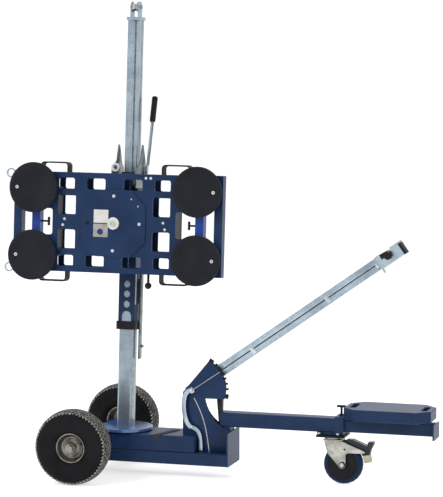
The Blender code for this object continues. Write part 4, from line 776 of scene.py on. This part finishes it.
# %% Cups
CUP_FACE = -0.262
CUP_X = {"left": -0.3275, "right": 0.351}
CUP_Z = {"top": 0.134, "bottom": -0.134}
PORT_X = {"left": -0.067, "right": 0.067}
PAD_PROFILE = [
    (0.0, -0.0022), (0.076, -0.0018), (0.079, 0.0), (0.0965, 0.0), (0.0988, -0.001),
    (0.0999, -0.0035), (0.0997, -0.013), (0.0985, -0.0155), (0.0, -0.016),
]
BACK_PROFILE = [
    (0.0, -0.0158), (0.094, -0.0158), (0.0948, -0.017), (0.094, -0.0238), (0.07, -0.025),
    (0.068, -0.0235), (0.042, -0.0235), (0.04, -0.0252), (0.026, -0.0258), (0.0225, -0.029),
    (0.022, -0.0388), (0.0, -0.0388),
]
PORT_PROFILE = [
    (0.0, -0.002), (0.0022, -0.002), (0.0026, 0.0002), (0.0052, 0.0004), (0.0066, -0.0004),
    (0.007, -0.003), (0.0, -0.003),
]
for level, z in CUP_Z.items():
    for side, x in CUP_X.items():
        label = f"{level}_{side}"
        body = "arm_" + side
        place = on_head(x, CUP_FACE, z)
        port_place = place @ at(PORT_X[side], 0, 0)
        turned("cup_pad_" + label, PAD_PROFILE, 96, place, CUP_RUBBER, body, ["cup_" + label])
        turned("cup_backing_" + label, BACK_PROFILE, 72, place, BLACK_PLASTIC, body)
        turned("cup_port_" + label, PORT_PROFILE, 24, port_place, PALE_STEEL, body)
print("cups ready")

# %% [markdown]
# ## Fittings on the head
# Two bare label plates sit on the octagonal hub plate, with a push button on the lower one.
# Beside them is the hub bolt with its wide washer. Bright button-head screws hold the hub plate
# to the turning plate behind it, and pairs of them hold the plastic guide blocks.

# %% Label plates and button
HUB_FACE = -0.2273
LABEL_X = -0.0511
LABEL_HEIGHT = 0.052


def framed_plate(width, height):
    """A thin plate with a fine raised rim, as on a moulded label."""
    rim = 0.0007
    parts = [block((width, height, 0.0006), (0, 0, 0.0004), 0.0001)]
    for side in (-1, 1):
        to_rim = (side * (width - rim) / 2, side * (height - rim) / 2)
        parts.append(block((width, rim, 0.0004), (0, to_rim[1], 0.0008), 0.0001))
        parts.append(block((rim, height, 0.0004), (to_rim[0], 0, 0.0008), 0.0001))
    return parts


white_plate = framed_plate(0.0608, LABEL_HEIGHT)
piece("label_white", white_plate, on_head(LABEL_X, HUB_FACE, 0.027), LABEL_WHITE, "head")
grey_plate = framed_plate(0.061, LABEL_HEIGHT)
piece("label_grey", grey_plate, on_head(LABEL_X - 0.0009, HUB_FACE, -0.029), LABEL_GREY, "head")
BUTTON_RING = [(0.0, 0.0016), (0.0086, 0.0016), (0.01, 0.003), (0.0112, 0.0024)]
BUTTON_RING += [(0.0116, 0.0006), (0.0, 0.0006)]
BUTTON = [(0.0, 0.0034), (0.004, 0.0033), (0.007, 0.0026), (0.0078, 0.0014), (0.0, 0.0012)]
button_place = on_head(-0.0538, HUB_FACE, -0.0345)
turned("button_ring", BUTTON_RING, 40, button_place, NAVY, "head")
turned("push_button", BUTTON, 40, button_place, BRIGHT_BLUE, "head")
print("label plates and button ready")

# %% Hub bolt and screws
HUB_WASHER = [
    (0.0, 0.0084), (0.0126, 0.0086), (0.0134, 0.0078), (0.0138, 0.0046), (0.0158, 0.004),
    (0.0222, 0.004), (0.024, 0.003), (0.0246, 0.0012), (0.0246, -0.0004), (0.0, -0.0004),
]
BOLT_HEAD = [
    (0.0, 0.0096), (0.0034, 0.0096), (0.004, 0.0112), (0.008, 0.011), (0.0092, 0.01),
    (0.0096, 0.0082), (0.0, 0.008),
]
HEAD_FACE = -0.222
SCREW_CIRCLE = 0.108
GUIDE_SCREWS = [(-0.205, 0.012), (-0.212, -0.012), (0.205, 0.008), (0.212, -0.018)]
GUIDE_SCREWS += [(0.13, 0.182), (0.15, 0.182)]


def head_screws(spots, face, radius, height):
    return [(screw_head(radius, height), on_head(x, face, z)) for x, z in spots]


turned("hub_washer", HUB_WASHER, 56, on_head(0, HUB_FACE, 0), PALE_STEEL, "head")
turned("hub_bolt_head", BOLT_HEAD, 40, on_head(0, HUB_FACE, 0), YELLOW_STEEL, "head")
on_circle = [(0, SCREW_CIRCLE), (SCREW_CIRCLE, 0), (0, -SCREW_CIRCLE)]
hub_screws = head_screws(on_circle, HUB_FACE, 0.007, 0.0046)
hub_screws += head_screws([(0.073, 0.0975), (0.101, 0.07)], HUB_FACE, 0.003, 0.0016)
piece("hub_screws", hub_screws, IN_PLACE, PALE_STEEL, "head")
dark_screw = head_screws([(-SCREW_CIRCLE, 0)], HUB_FACE, 0.007, 0.0046)
piece("hub_screw_dark", dark_screw, IN_PLACE, BLACK_PLASTIC, "head")
guide_screws = head_screws(GUIDE_SCREWS, HEAD_FACE, 0.006, 0.0042)
piece("guide_screws", guide_screws, IN_PLACE, PALE_STEEL, "head")
print("head fittings ready")

# %% [markdown]
# ## Mast profile and tube
# The upper mast is an extruded profile with a shallow channel and a slot down its front, and the
# lower mast is a square tube with well rounded corners. Both are galvanised, and their rounded
# corners catch the light as bright lines, which the near white edge colour of the finish paints
# in as well. A dark strip down the right face of each is painted shade, and so is the dark strip
# deep in the front slot. An outline with a thickness makes any bar of this kind.

# %% Outlines of tubes and extrusions
def rounded(width, height, radius):
    """The outline of a rectangle with round corners."""
    outline = []
    for turn, x_side, y_side in ((0, 1, 1), (90, -1, 1), (180, -1, -1), (270, 1, -1)):
        corner = (x_side * (width / 2 - radius), y_side * (height / 2 - radius))
        outline += arc(corner, radius, turn, turn + 90, 6)
    return outline


def extrusion(width, height, radius, grooves):
    """The outline of a bar with round corners and grooves in its front, right, back and left."""
    x = width / 2 - radius
    y = height / 2 - radius
    edges = (
        ((-x, -height / 2), (1, 0), 2 * x, (x, -y)),
        ((width / 2, -y), (0, 1), 2 * y, (x, y)),
        ((x, height / 2), (-1, 0), 2 * x, (-x, y)),
        ((-width / 2, y), (0, -1), 2 * y, (-x, -y)),
    )
    outline = []
    for number, (start, along, length, corner) in enumerate(edges):
        for distance, depth in [(0, 0)] + grooves[number] + [(length, 0)]:
            to_right = along[0] * distance - along[1] * depth
            to_back = along[1] * distance + along[0] * depth
            outline.append((start[0] + to_right, start[1] + to_back))
        outline += arc(corner, radius, 90 * number - 90, 90 * number, 5)[1:-1]
    return outline


def line_groove(distance, width=0.0014, depth=0.0011):
    """A narrow groove that the die leaves along an extrusion."""
    return [(distance - width / 2, 0), (distance, depth), (distance + width / 2, 0)]


# %% Upper mast
PROFILE_SIDE = 0.0524
PROFILE_ENDS = (0.6, 1.628)
CHANNEL_DEPTH = 0.0028
SLOT_DEPTH = 0.01
front_channel = [
    (0.0202, 0), (0.0202, CHANNEL_DEPTH), (0.0262, CHANNEL_DEPTH), (0.0262, SLOT_DEPTH),
    (0.0342, SLOT_DEPTH), (0.0342, CHANNEL_DEPTH), (0.042, CHANNEL_DEPTH), (0.042, 0),
]
side_lines = line_groove(0.003) + line_groove(0.04)
front_lines = line_groove(0.006) + line_groove(0.012)
mast_grooves = [front_lines + front_channel, side_lines, [], side_lines]
mast_outline = extrusion(PROFILE_SIDE, PROFILE_SIDE, 0.004, mast_grooves)
profile = slab(mast_outline, *PROFILE_ENDS, edge=0.0003)
piece("mast_extrusion", [profile], MAST, ZINC, "mast", ["mast_profile"])
strip_length = PROFILE_ENDS[1] - PROFILE_ENDS[0] - 0.002
strip_middle = sum(PROFILE_ENDS) / 2
# A dark strip deep in the front slot is painted shade, standing in for the shadow inside the channel.
slot_shade_place = (0.008, 0.0055 - PROFILE_SIDE / 2, strip_middle)
slot_shade_strip = block((0.0078, 0.0012, strip_length), slot_shade_place, 0.0002)
piece("slot_liner", [slot_shade_strip], MAST, CHEEK_STEEL, "mast")
# A dark strip down the right face is painted shade, where that face turns from the light.
side_shade_place = (PROFILE_SIDE / 2 - 0.0001, 0.003, strip_middle)
side_shade_strip = block((0.0006, 0.017, strip_length), side_shade_place, 0.0001)
piece("roller_track", [side_shade_strip], MAST, CHEEK_STEEL, "mast")
print("upper mast:", round(PROFILE_ENDS[1] - PROFILE_ENDS[0], 3), "m")

# %% Lower mast
TUBE_SIDE = 0.06
TUBE_CORNER = 0.0075
TUBE_ENDS = (-0.003, 0.7)
# A dark strip down the right face of the tube is painted shade, where that face turns from the light.
tube_track = block((0.0006, 0.042, 0.696), (TUBE_SIDE / 2 - 0.0002, 0, 0.349), 0.0001)
piece("tube_track", [tube_track], MAST, CHEEK_STEEL, "mast")
tube = slab(rounded(TUBE_SIDE, TUBE_SIDE, TUBE_CORNER), *TUBE_ENDS, edge=0.0004)
piece("mast_square_tube", [tube], MAST, TUBE_ZINC, "mast", ["mast_tube"])
print("mast ready")

# %% [markdown]
# ## Hoist lever and lifting eyes
# The hoist lever is a thin steel tube with a rubber sleeve as its grip, and the sleeve has fine
# ridges for the hand. Two forged eyes on the left arm take a safety strap. All of these are round,
# so each is a turned profile, and the ridges of the grip are points that a loop adds to it.

# %% Lever and eyes
GRIP_BOTTOM = 0.2093
GRIP_RIDGES = 16
RIDGE_STEP = 0.0052
LEVER_HEIGHT = 0.205
LEVER_TUBE = [(0.0, 0.211), (0.0064, 0.211), (0.0064, 0.03), (0.0052, 0.027), (0.0, 0.027)]
EYE_SECTION = [(0.0133, 0.0029), (0.0137, 0.0033), (0.019, 0.0033), (0.0195, 0.0029)]
LEVER = HEAD @ at(0.0621, 0, LEVER_HEIGHT) @ tilted("X", -15)
grip = [(0.0, 0.1045), (0.008, 0.1045), (0.0108, 0.102), (0.0124, 0.096)]
for ridge in range(GRIP_RIDGES):
    height = 0.092 - RIDGE_STEP * ridge
    grip += [(0.0124, height + 0.0012), (0.0115, height), (0.0115, height - 0.0012)]
grip += [(0.012, 0.006), (0.0108, 0.0), (0.0, 0.0)]
grip_place = LEVER @ at(0, 0, GRIP_BOTTOM)
turned("lever_grip_sleeve", grip, 32, grip_place, GRIP_RUBBER, "lever", ["hoist_lever_grip"])
turned("lever_tube", LEVER_TUBE, 24, LEVER, CHEEK_STEEL, "lever")
for level, z in (("top", 0.188), ("bottom", -0.188)):
    eye_place = on_head(-0.444, -0.195, z)
    turned("eye_ring_" + level, mirrored(EYE_SECTION), 40, eye_place, ZINC, "arm_left")
print("lever and eyes ready")

# %% [markdown]
# ## Fittings on the sliding sleeve
# A galvanised guide bar runs down the side of the sleeve, with a small knob near its lower end.
# On the same side a pale strip carries plain marks, so that a user can set the head to the same
# height again. The marks are a row of short bars, with a longer one at every fifth place.

# %% Guide bar, knob and height marks
GUIDE_Y = 0.016
KNOB = [(0.0, 0.01), (0.0052, 0.01), (0.0064, 0.0085), (0.0064, 0.003), (0.0034, 0.0015)]
KNOB += [(0.0034, 0.0), (0.0, 0.0)]
STRIP_Z = -0.2675
MARKS = 25
MARK_STEP = 0.0046
guide = [
    block((0.0089, 0.0252, 0.3412), (0.04555, GUIDE_Y, -0.378), 0.0008),
    block((0.014, 0.0212, 0.1012), (0.0402, GUIDE_Y, -0.278), 0.0008),
]
piece("guide_bar_cover", guide, HEAD, CHEEK_STEEL, "carriage")
knob_place = HEAD @ at(0.05, GUIDE_Y, -0.497) @ SIDEWAYS
turned("guide_bar_knob", KNOB, 28, knob_place, CHEEK_STEEL, "carriage")
strip = block((0.0009, 0.012, 0.121), (0.03545, -0.025, STRIP_Z), 0.0002)
piece("height_strip", [strip], HEAD, LABEL_WHITE, "carriage")
marks = []
for number in range(MARKS):
    width = 0.0098 if number % 5 == 0 else 0.0062
    height = STRIP_Z + (number - (MARKS - 1) / 2) * MARK_STEP
    marks.append(block((0.0004, width, 0.0014), (0.036, -0.0305 + width / 2, height), 0.0001))
piece("height_marks", marks, HEAD, BLACK_PLASTIC, "carriage")
print("marks:", MARKS)

# %% [markdown]
# ## Cheek plates of the carriage
# Two pointed cheek plates are bolted to the sides of the sleeve. The hoist lever pivots on the
# right one, and a bush in front of the left one guides the safety strap. The plates are cut from
# sheet, so each is one outline with a thickness, and the round fittings are turned profiles.

# %% Cheeks, bush and lever hub
CHEEK_X = 0.0495
CHEEK_HALF = 0.003
CHEEK_BOTTOM = 0.14
cheek_outline = [
    (-0.11, CHEEK_BOTTOM), (0.035, CHEEK_BOTTOM), (0.035, 0.218), (0.012, 0.236), (-0.022, 0.312),
    (-0.03, 0.312), (-0.05, 0.25), (-0.086, 0.226), (-0.11, 0.212),
]
BOSS = [(0.0, 0.0061), (0.008, 0.0061), (0.008, -0.0061), (0.0, -0.0061)]
LEVER_HUB = [(0.0, 0.007), (0.019, 0.007), (0.021, 0.005), (0.021, 0.0), (0.0, 0.0)]
BUSH = [(0.0092, 0.009), (0.0104, 0.01), (0.016, 0.01), (0.0175, 0.0085)]
cheeks = []
for side in (-1, 1):
    middle = side * CHEEK_X
    cheek = slab(cheek_outline, middle - CHEEK_HALF, middle + CHEEK_HALF, 0.0008)
    cheeks.append((cheek, ALONG_X))
    for height in (0.152, 0.18):
        cheeks.append((revolve(BOSS, 24), at(side * 0.0414, 0, height) @ SIDEWAYS))
cheeks.append(block((2 * CHEEK_X, 0.008, 0.05), (0, -0.1, CHEEK_BOTTOM + 0.03), 0.0006))
hub_place = at(CHEEK_X + CHEEK_HALF - 0.001, 0, LEVER_HEIGHT) @ SIDEWAYS
cheeks.append((revolve(LEVER_HUB, 36), hub_place))
piece("cheek_plates", cheeks, HEAD, CHEEK_STEEL, "carriage", ["carriage_cheeks"])
bush_place = on_head(-0.034, -0.108, 0.22)
turned("guide_ring", mirrored(BUSH), 40, bush_place, PALE_STEEL, "carriage")
print("cheek plates ready")

# %% [markdown]
# ## Upright plates with the lock teeth
# The near upright is a plain painted plate. Right behind it stands a black plate whose rim is
# cut into teeth, and a pawl inside the drawbar drops between them to hold the drawbar at one of
# several heights. Their round edges are arcs about the drawbar's pivot, so they are written as
# arcs. A dark strut stiffens the gap between the two uprights.

# %% Plates and teeth
PIVOT = (JOINT["drawbar_tilt"][0], JOINT["drawbar_tilt"][2])
PLATE_EDGE = 0.1385
TOOTH_ROOT = 0.1365
TOOTH_TOP = 0.1515
TOOTH_ANGLES = [4.0, 12.5, 21.0, 29.5, 38.0, 46.5]
TOOTH_HALF = 1.7
TOP_BLOCK = (52.5, 60.5)
PLATE_FACES = (0.0328, 0.0365)
TEETH_FACES = (0.0305, 0.0329)
STRUT_FACES = (-0.014, 0.014)
LOW_BLOCK = (-11.5, -4.0)
foot = [
    (0.0379, 0.185), (0.0379, 0.1043), (-0.0938, 0.1043), (-0.0938, 0.1703), (-0.1561, 0.1703),
    (-0.1561, 0.34),
]


def tooth_edge():
    teeth = [(angle - TOOTH_HALF, angle + TOOTH_HALF) for angle in TOOTH_ANGLES]
    edge = []
    for first, last in [LOW_BLOCK] + teeth + [TOP_BLOCK]:
        edge += arc(PIVOT, TOOTH_ROOT, first, first, 1)[:1]
        edge += arc(PIVOT, TOOTH_TOP, first, last, 3)
        edge += arc(PIVOT, TOOTH_ROOT, last, last, 1)[:1]
    return edge


hollow = arc((0.0843, 0.3339), 0.1493, 186, 252, 16)
near_outline = arc(PIVOT, PLATE_EDGE, 60, -13, 24) + hollow + foot
near = slab(near_outline, *PLATE_FACES, edge=0.0004)
piece("near_plate", [near], FACING_FRONT, NAVY, "base", ["upright_plate_near"])
teeth_outline = tooth_edge() + arc(PIVOT, 0.1, 60, -12, 12)
teeth = slab(teeth_outline, *TEETH_FACES, edge=0.0003)
piece("lock_teeth", [teeth], FACING_FRONT, BLACK_PLASTIC, "base")
strut_outline = [(0.0, 0.315), (-0.0215, 0.315), (-0.012, 0.2), (-0.003, 0.2)]
strut = slab(strut_outline, *STRUT_FACES, edge=0.001)
piece("sector_strut", [strut], FACING_FRONT, DARK_STEEL, "base")
print("lock teeth:", len(TOOTH_ANGLES))

# %% [markdown]
# ## Toggle stay
# A galvanised stay hooks over the pivot and runs down to the chassis. It is bent from flat bar in
# two lengths, joined by a screw at the knee, so each length is drawn as a band along a curve.

# %% Stay
def smooth_line(points, steps=8):
    """A smooth curve through a few points, by the Catmull and Rom rule."""
    line = [Vector(point) for point in points]
    line = [2 * line[0] - line[1]] + line + [2 * line[-1] - line[-2]]
    curve = []
    for a, b, c, d in zip(line, line[1:], line[2:], line[3:]):
        for step in range(steps):
            t = step / steps
            bend = (2 * a - 5 * b + 4 * c - d) * t * t
            twist = (3 * b - a - 3 * c + d) * t**3
            curve.append(0.5 * (2 * b + (c - a) * t + bend + twist))
    return curve + [line[-2]]


def band(points, width, low, high):
    """A flat bar of one width, bent along a smooth line in its own plane."""
    line = smooth_line([(x, y, 0) for x, y in points])
    near_side = []
    far_side = []
    for index, place in enumerate(line):
        ahead = line[min(index + 1, len(line) - 1)] - line[max(index - 1, 0)]
        side = Vector((-ahead.y, ahead.x, 0)).normalized() * (width / 2)
        near_side.append((place + side).to_2d()[:])
        far_side.append((place - side).to_2d()[:])
    return slab(far_side + near_side[::-1], low, high, 0.0008)


STAY_NEAR = 0.055
STAY_FAR = 0.0455
UPPER_STAY = [
    (-0.116, 0.351), (-0.129, 0.347), (-0.141, 0.333), (-0.147, 0.309), (-0.148, 0.281),
    (-0.143, 0.247), (-0.133, 0.219), (-0.117, 0.201),
]
LOWER_STAY = [
    (-0.118, 0.204), (-0.1, 0.197), (-0.086, 0.182), (-0.079, 0.155), (-0.077, 0.108),
]
upper = band(UPPER_STAY, 0.0175, STAY_FAR, STAY_NEAR - 0.003)
lower = band(LOWER_STAY, 0.015, STAY_FAR, STAY_NEAR - 0.0035)
piece("bent_stay", [upper, lower], FACING_FRONT, ZINC, "base", ["toggle_stay"])
knees = []
for z, radius in ((0.352, 0.0062), (0.203, 0.0058)):
    knees.append((screw_head(radius, 0.0026), at(-0.1165, -STAY_NEAR + 0.0032, z) @ FACING_FRONT))
piece("stay_screws", knees, IN_PLACE, PALE_STEEL, "base")
print("stay ready")

# %% [markdown]
# ## Drawbar fittings
# The drawbar is an extrusion with a groove along each side. Its grooves hold a dark sliding rod
# that pulls the pawl, two small bridge plates keep the rod in, and the head has a cross grip, a
# thumb screw underneath and a rubber end cap. The bar is drawn like the mast, and the rest are
# plain blocks and turned shapes.

# %% Drawbar extrusion
BAR_ENDS = (-0.026, 0.935)
BAR_GROOVE = [(0.0205, 0), (0.0205, 0.003), (0.0255, 0.003), (0.0255, 0)]
front_edge = line_groove(0.0035) + line_groove(0.009)
bar_side = front_edge + BAR_GROOVE + line_groove(0.037) + line_groove(0.0425)
bar_outline = extrusion(0.04, 0.05, 0.002, [[], bar_side, [], bar_side])
bar = slab(bar_outline, *BAR_ENDS, edge=0.0003)
piece("drawbar_extrusion", [bar], DRAWBAR @ ALONG_X, ZINC, "drawbar", ["drawbar_profile"])
print("drawbar:", round(BAR_ENDS[1] - BAR_ENDS[0], 3), "m")

# %% Groove rods and bridge plates
rods = [block((0.905, 0.001, 0.0046), (0.467, side * 0.018, 0), 0.0002) for side in (-1, 1)]
piece("groove_rods", rods, DRAWBAR, SLATE, "drawbar")
bridges = []
for along in (0.2994, 0.672):
    bridges.append(block((0.017, 0.0016, 0.034), (along, -0.0208, -0.003), 0.0004))
    bridges.append((screw_head(0.0036, 0.0022), at(along, -0.0216, 0.0) @ FACING_FRONT))
bridges.append(block((0.01, 0.0016, 0.018), (0.915, -0.0206, -0.004), 0.0005))
piece("bridge_plates", bridges, DRAWBAR, CHROME, "drawbar")
print("bridge plates with their screws:", len(bridges))

# %% Grip, cap and thumb screw
CROSS_GRIP = [
    (0.0, 0.026), (0.011, 0.026), (0.0145, 0.0235), (0.0155, 0.02), (0.015, 0.002), (0.0135, 0.0),
    (0.0, 0.0),
]
THUMB_SHAFT = [(0.0, 0.014), (0.004, 0.014), (0.0046, 0.012), (0.0046, 0.0), (0.0, 0.0)]
THUMB_X = 0.9225
grips = []
for side in (-1, 1):
    grips.append((revolve(CROSS_GRIP, 28), at(0.978, side * 0.0232, 0.004) @ FACING_OUT[side]))
piece("cross_grip", grips, DRAWBAR, GRIP_RUBBER, "drawbar")
cap = block((0.0104, 0.0482, 0.05), (1.0378, 0, -0.0035), 0.0015)
piece("drawbar_cap", [cap], DRAWBAR, GRIP_RUBBER, "drawbar")
shaft = (revolve(THUMB_SHAFT, 20), at(THUMB_X, 0, -0.027) @ tilted("X", 180))
wing = block((0.006, 0.02, 0.006), (THUMB_X, 0, -0.042), 0.0015)
piece("thumb_screw", [shaft, wing], DRAWBAR, WARM_ZINC, "drawbar")
print("drawbar fittings ready")

# %% [markdown]
# ## Release wires and deck strap
# Two thin lines cross the near plate: a straight rod that pulls the release, and a sheathed wire
# that curves down from the pivot to the chassis and is clamped at both ends. Each is a round
# section carried along its line. A flat webbing strap lies across the deck and hangs a little
# over its front edge.

# %% Wires
ROD_Y = -0.0386
SHEATH_Y = -0.0392
SHEATH_RADIUS = 0.0016
SHEATH_SPOTS = [
    (-0.108, 0.319), (-0.09, 0.284), (-0.074, 0.246), (-0.061, 0.202), (-0.053, 0.16), (-0.0455, 0.106),
]
rod = wire([(-0.114, ROD_Y, 0.351), (-0.002, ROD_Y, 0.428)], 0.0011)
piece("pull_rod", [rod], IN_PLACE, PALE_STEEL, "base")
SHEATH = [(x, SHEATH_Y, z) for x, z in SHEATH_SPOTS]
sheath_line = smooth_line(SHEATH)
sheath = piece("sheathed_wire", [wire(sheath_line, SHEATH_RADIUS)], IN_PLACE, LABEL_WHITE, "base")

# %% Strap
DECK_TOP = 0.17
strap_outline = [(-0.262, -0.0872), (-0.235, -0.0872), (-0.189, 0.04), (-0.216, 0.04)]
strap = [
    slab(strap_outline, DECK_TOP + 0.0003, DECK_TOP + 0.0026, 0.0004),
    block((0.027, 0.002, 0.02), (-0.2485, -0.0864, DECK_TOP - 0.008), 0.0004),
]
piece("deck_strap", strap, IN_PLACE, WEBBING, "base")
print("strap ready")

# %% [markdown]
# ## Caster brake
# The caster has a foot brake: a dark pressed pedal, and below it a pale plastic block that the
# pedal pushes against the tread. Both have flat outlines with a thickness, like the real ones.
# A nut and a washer close each end of the axle, and four bolts hold the caster's top plate.

# %% Pedal and brake block
PEDAL_PLACE = at(*JOINT["pedal_press"]) @ FACING_FRONT
PEDAL_HALF = 0.015
BRAKE_HALF = 0.016
pedal_outline = [
    (-0.006, -0.0045), (0.013, -0.0045), (0.033, -0.016), (0.053, -0.032), (0.0605, -0.05),
    (0.089, -0.046), (0.095, -0.022), (0.105, -0.004), (0.1065, 0.008), (0.0825, 0.006),
    (0.08, -0.009), (0.022, 0.014), (-0.004, 0.013), (-0.006, 0.008),
]
pedal = slab(pedal_outline, -PEDAL_HALF, PEDAL_HALF, 0.0015)
piece("foot_pedal", [pedal], PEDAL_PLACE, PEDAL_GREEN, "pedal", ["brake_pedal"])
brake_outline = [(0.0615, -0.048), (0.069, -0.078), (0.096, -0.073), (0.089, -0.044)]
brake = slab(brake_outline, -BRAKE_HALF, BRAKE_HALF, 0.0015)
piece("brake_block", [brake], PEDAL_PLACE, CREAM, "pedal")
print("pedal and brake block ready")

# %% Axle nuts, rivet and plate bolts
FORK_FACE = 0.033
NUT = [(0.0, 0.0062), (0.0058, 0.0062), (0.0078, 0.0046), (0.0078, 0.0004), (0.0, 0.0004)]
AXLE_WASHER = [(0.0, 0.0012), (0.0118, 0.0012), (0.0124, 0.0006), (0.0124, 0.0), (0.0, 0.0)]
for name, side in NEAR_AND_FAR.items():
    place = at(*JOINT["caster_spin"]) @ at(0, side * FORK_FACE, 0) @ FACING_OUT[side]
    turned("axle_washer_" + name, AXLE_WASHER, 32, place, DARK_STEEL, "caster_fork")
    piece("axle_nut_" + name, [revolve(NUT, 6)], place, PALE_STEEL, "caster_fork", angle=25)
rivet = (screw_head(0.0034, 0.0012), at(0.508, -FORK_FACE + 0.0004, 0.142) @ FACING_FRONT)
piece("fork_rivet", [rivet], IN_PLACE, BLACK_PLASTIC, "caster_fork")
corners = [(x, y) for x in (0.4075, 0.484) for y in (-0.0465, 0.0465)]
plate_bolts = [(screw_head(0.0062, 0.0052), at(x, y, 0.2035)) for x, y in corners]
piece("plate_bolts", plate_bolts, IN_PLACE, PALE_STEEL, "base")

# %% [markdown]
# ## Floor and studio light
# The photograph is a cut-out on pure white. The floor is a plain pale sheet that still takes a
# soft shadow. Wherever the camera, a glossy surface or glass looks straight at the floor or the
# world, it sees them lifted to white, while the light on the lifter itself stays at a plain
# level, from a dim world and three large soft lamps.

# %% Floor
WHITE = (1, 1, 1, 1)
FLOOR_GREY = (0.8, 0.8, 0.8, 1)
FLOOR_HALF = 60
FLOOR_LIFT = 0.62


def looked_at(tree):
    """One for rays from the camera, from gloss and through glass, and nought for other rays."""
    rays = add(tree, "ShaderNodeLightPath")
    seen = maths(tree, "MAXIMUM", rays["Is Camera Ray"], rays["Is Glossy Ray"])
    return maths(tree, "MAXIMUM", seen, rays["Is Transmission Ray"])


floor_data = bpy.data.meshes.new("floor")
signs = ((-1, -1), (1, -1), (1, 1), (-1, 1))
floor_corners = [(x * FLOOR_HALF, y * FLOOR_HALF, 0) for x, y in signs]
floor_data.from_pydata(floor_corners, [], [(0, 1, 2, 3)])
floor = show("floor", floor_data)
floor_finish = bpy.data.materials.new("pale_floor")
floor_finish.use_nodes = True
tree = floor_finish.node_tree
lift = maths(tree, "MULTIPLY", looked_at(tree), FLOOR_LIFT)
floor_look = {"Base Color": FLOOR_GREY, "Roughness": 0.9, "Emission Color": WHITE}
fill(tree, tree.nodes["Principled BSDF"], floor_look | {"Emission Strength": lift})
floor_data.materials.append(floor_finish)
print("floor ready")

# %% World and lamps
DIM_WORLD = 0.5
world = bpy.data.worlds.new("studio")
bpy.context.scene.world = world
world.use_nodes = True
tree = world.node_tree
levels = {"Value": looked_at(tree), "To Min": DIM_WORLD, "To Max": 1.0}
level = add(tree, "ShaderNodeMapRange", levels)["Result"]
fill(tree, tree.nodes["Background"], {"Color": WHITE, "Strength": level})


def soft_lamp(name, location, target_height, size, power, glossy=False):
    """A round lamp that shines on the middle of the lifter."""
    data = bpy.data.lights.new(name, "AREA")
    data.shape = "DISK"
    data.size = size
    data.energy = power
    lamp = show(name, data)
    lamp.location = location
    aim = Vector((0, 0, target_height)) - Vector(location)
    lamp.rotation_euler = aim.to_track_quat("-Z", "Y").to_euler()
    lamp.visible_glossy = glossy


soft_lamp("key_lamp", (-3.0, -4.5, 4.5), target_height=0.7, size=2.6, power=170)
soft_lamp("fill_lamp", (5.0, -3.5, 2.6), target_height=0.7, size=3.0, power=90)
soft_lamp("back_lamp", (0.5, 5.0, 4.5), target_height=0.8, size=3.0, power=120, glossy=True)
print("world and three lamps ready")
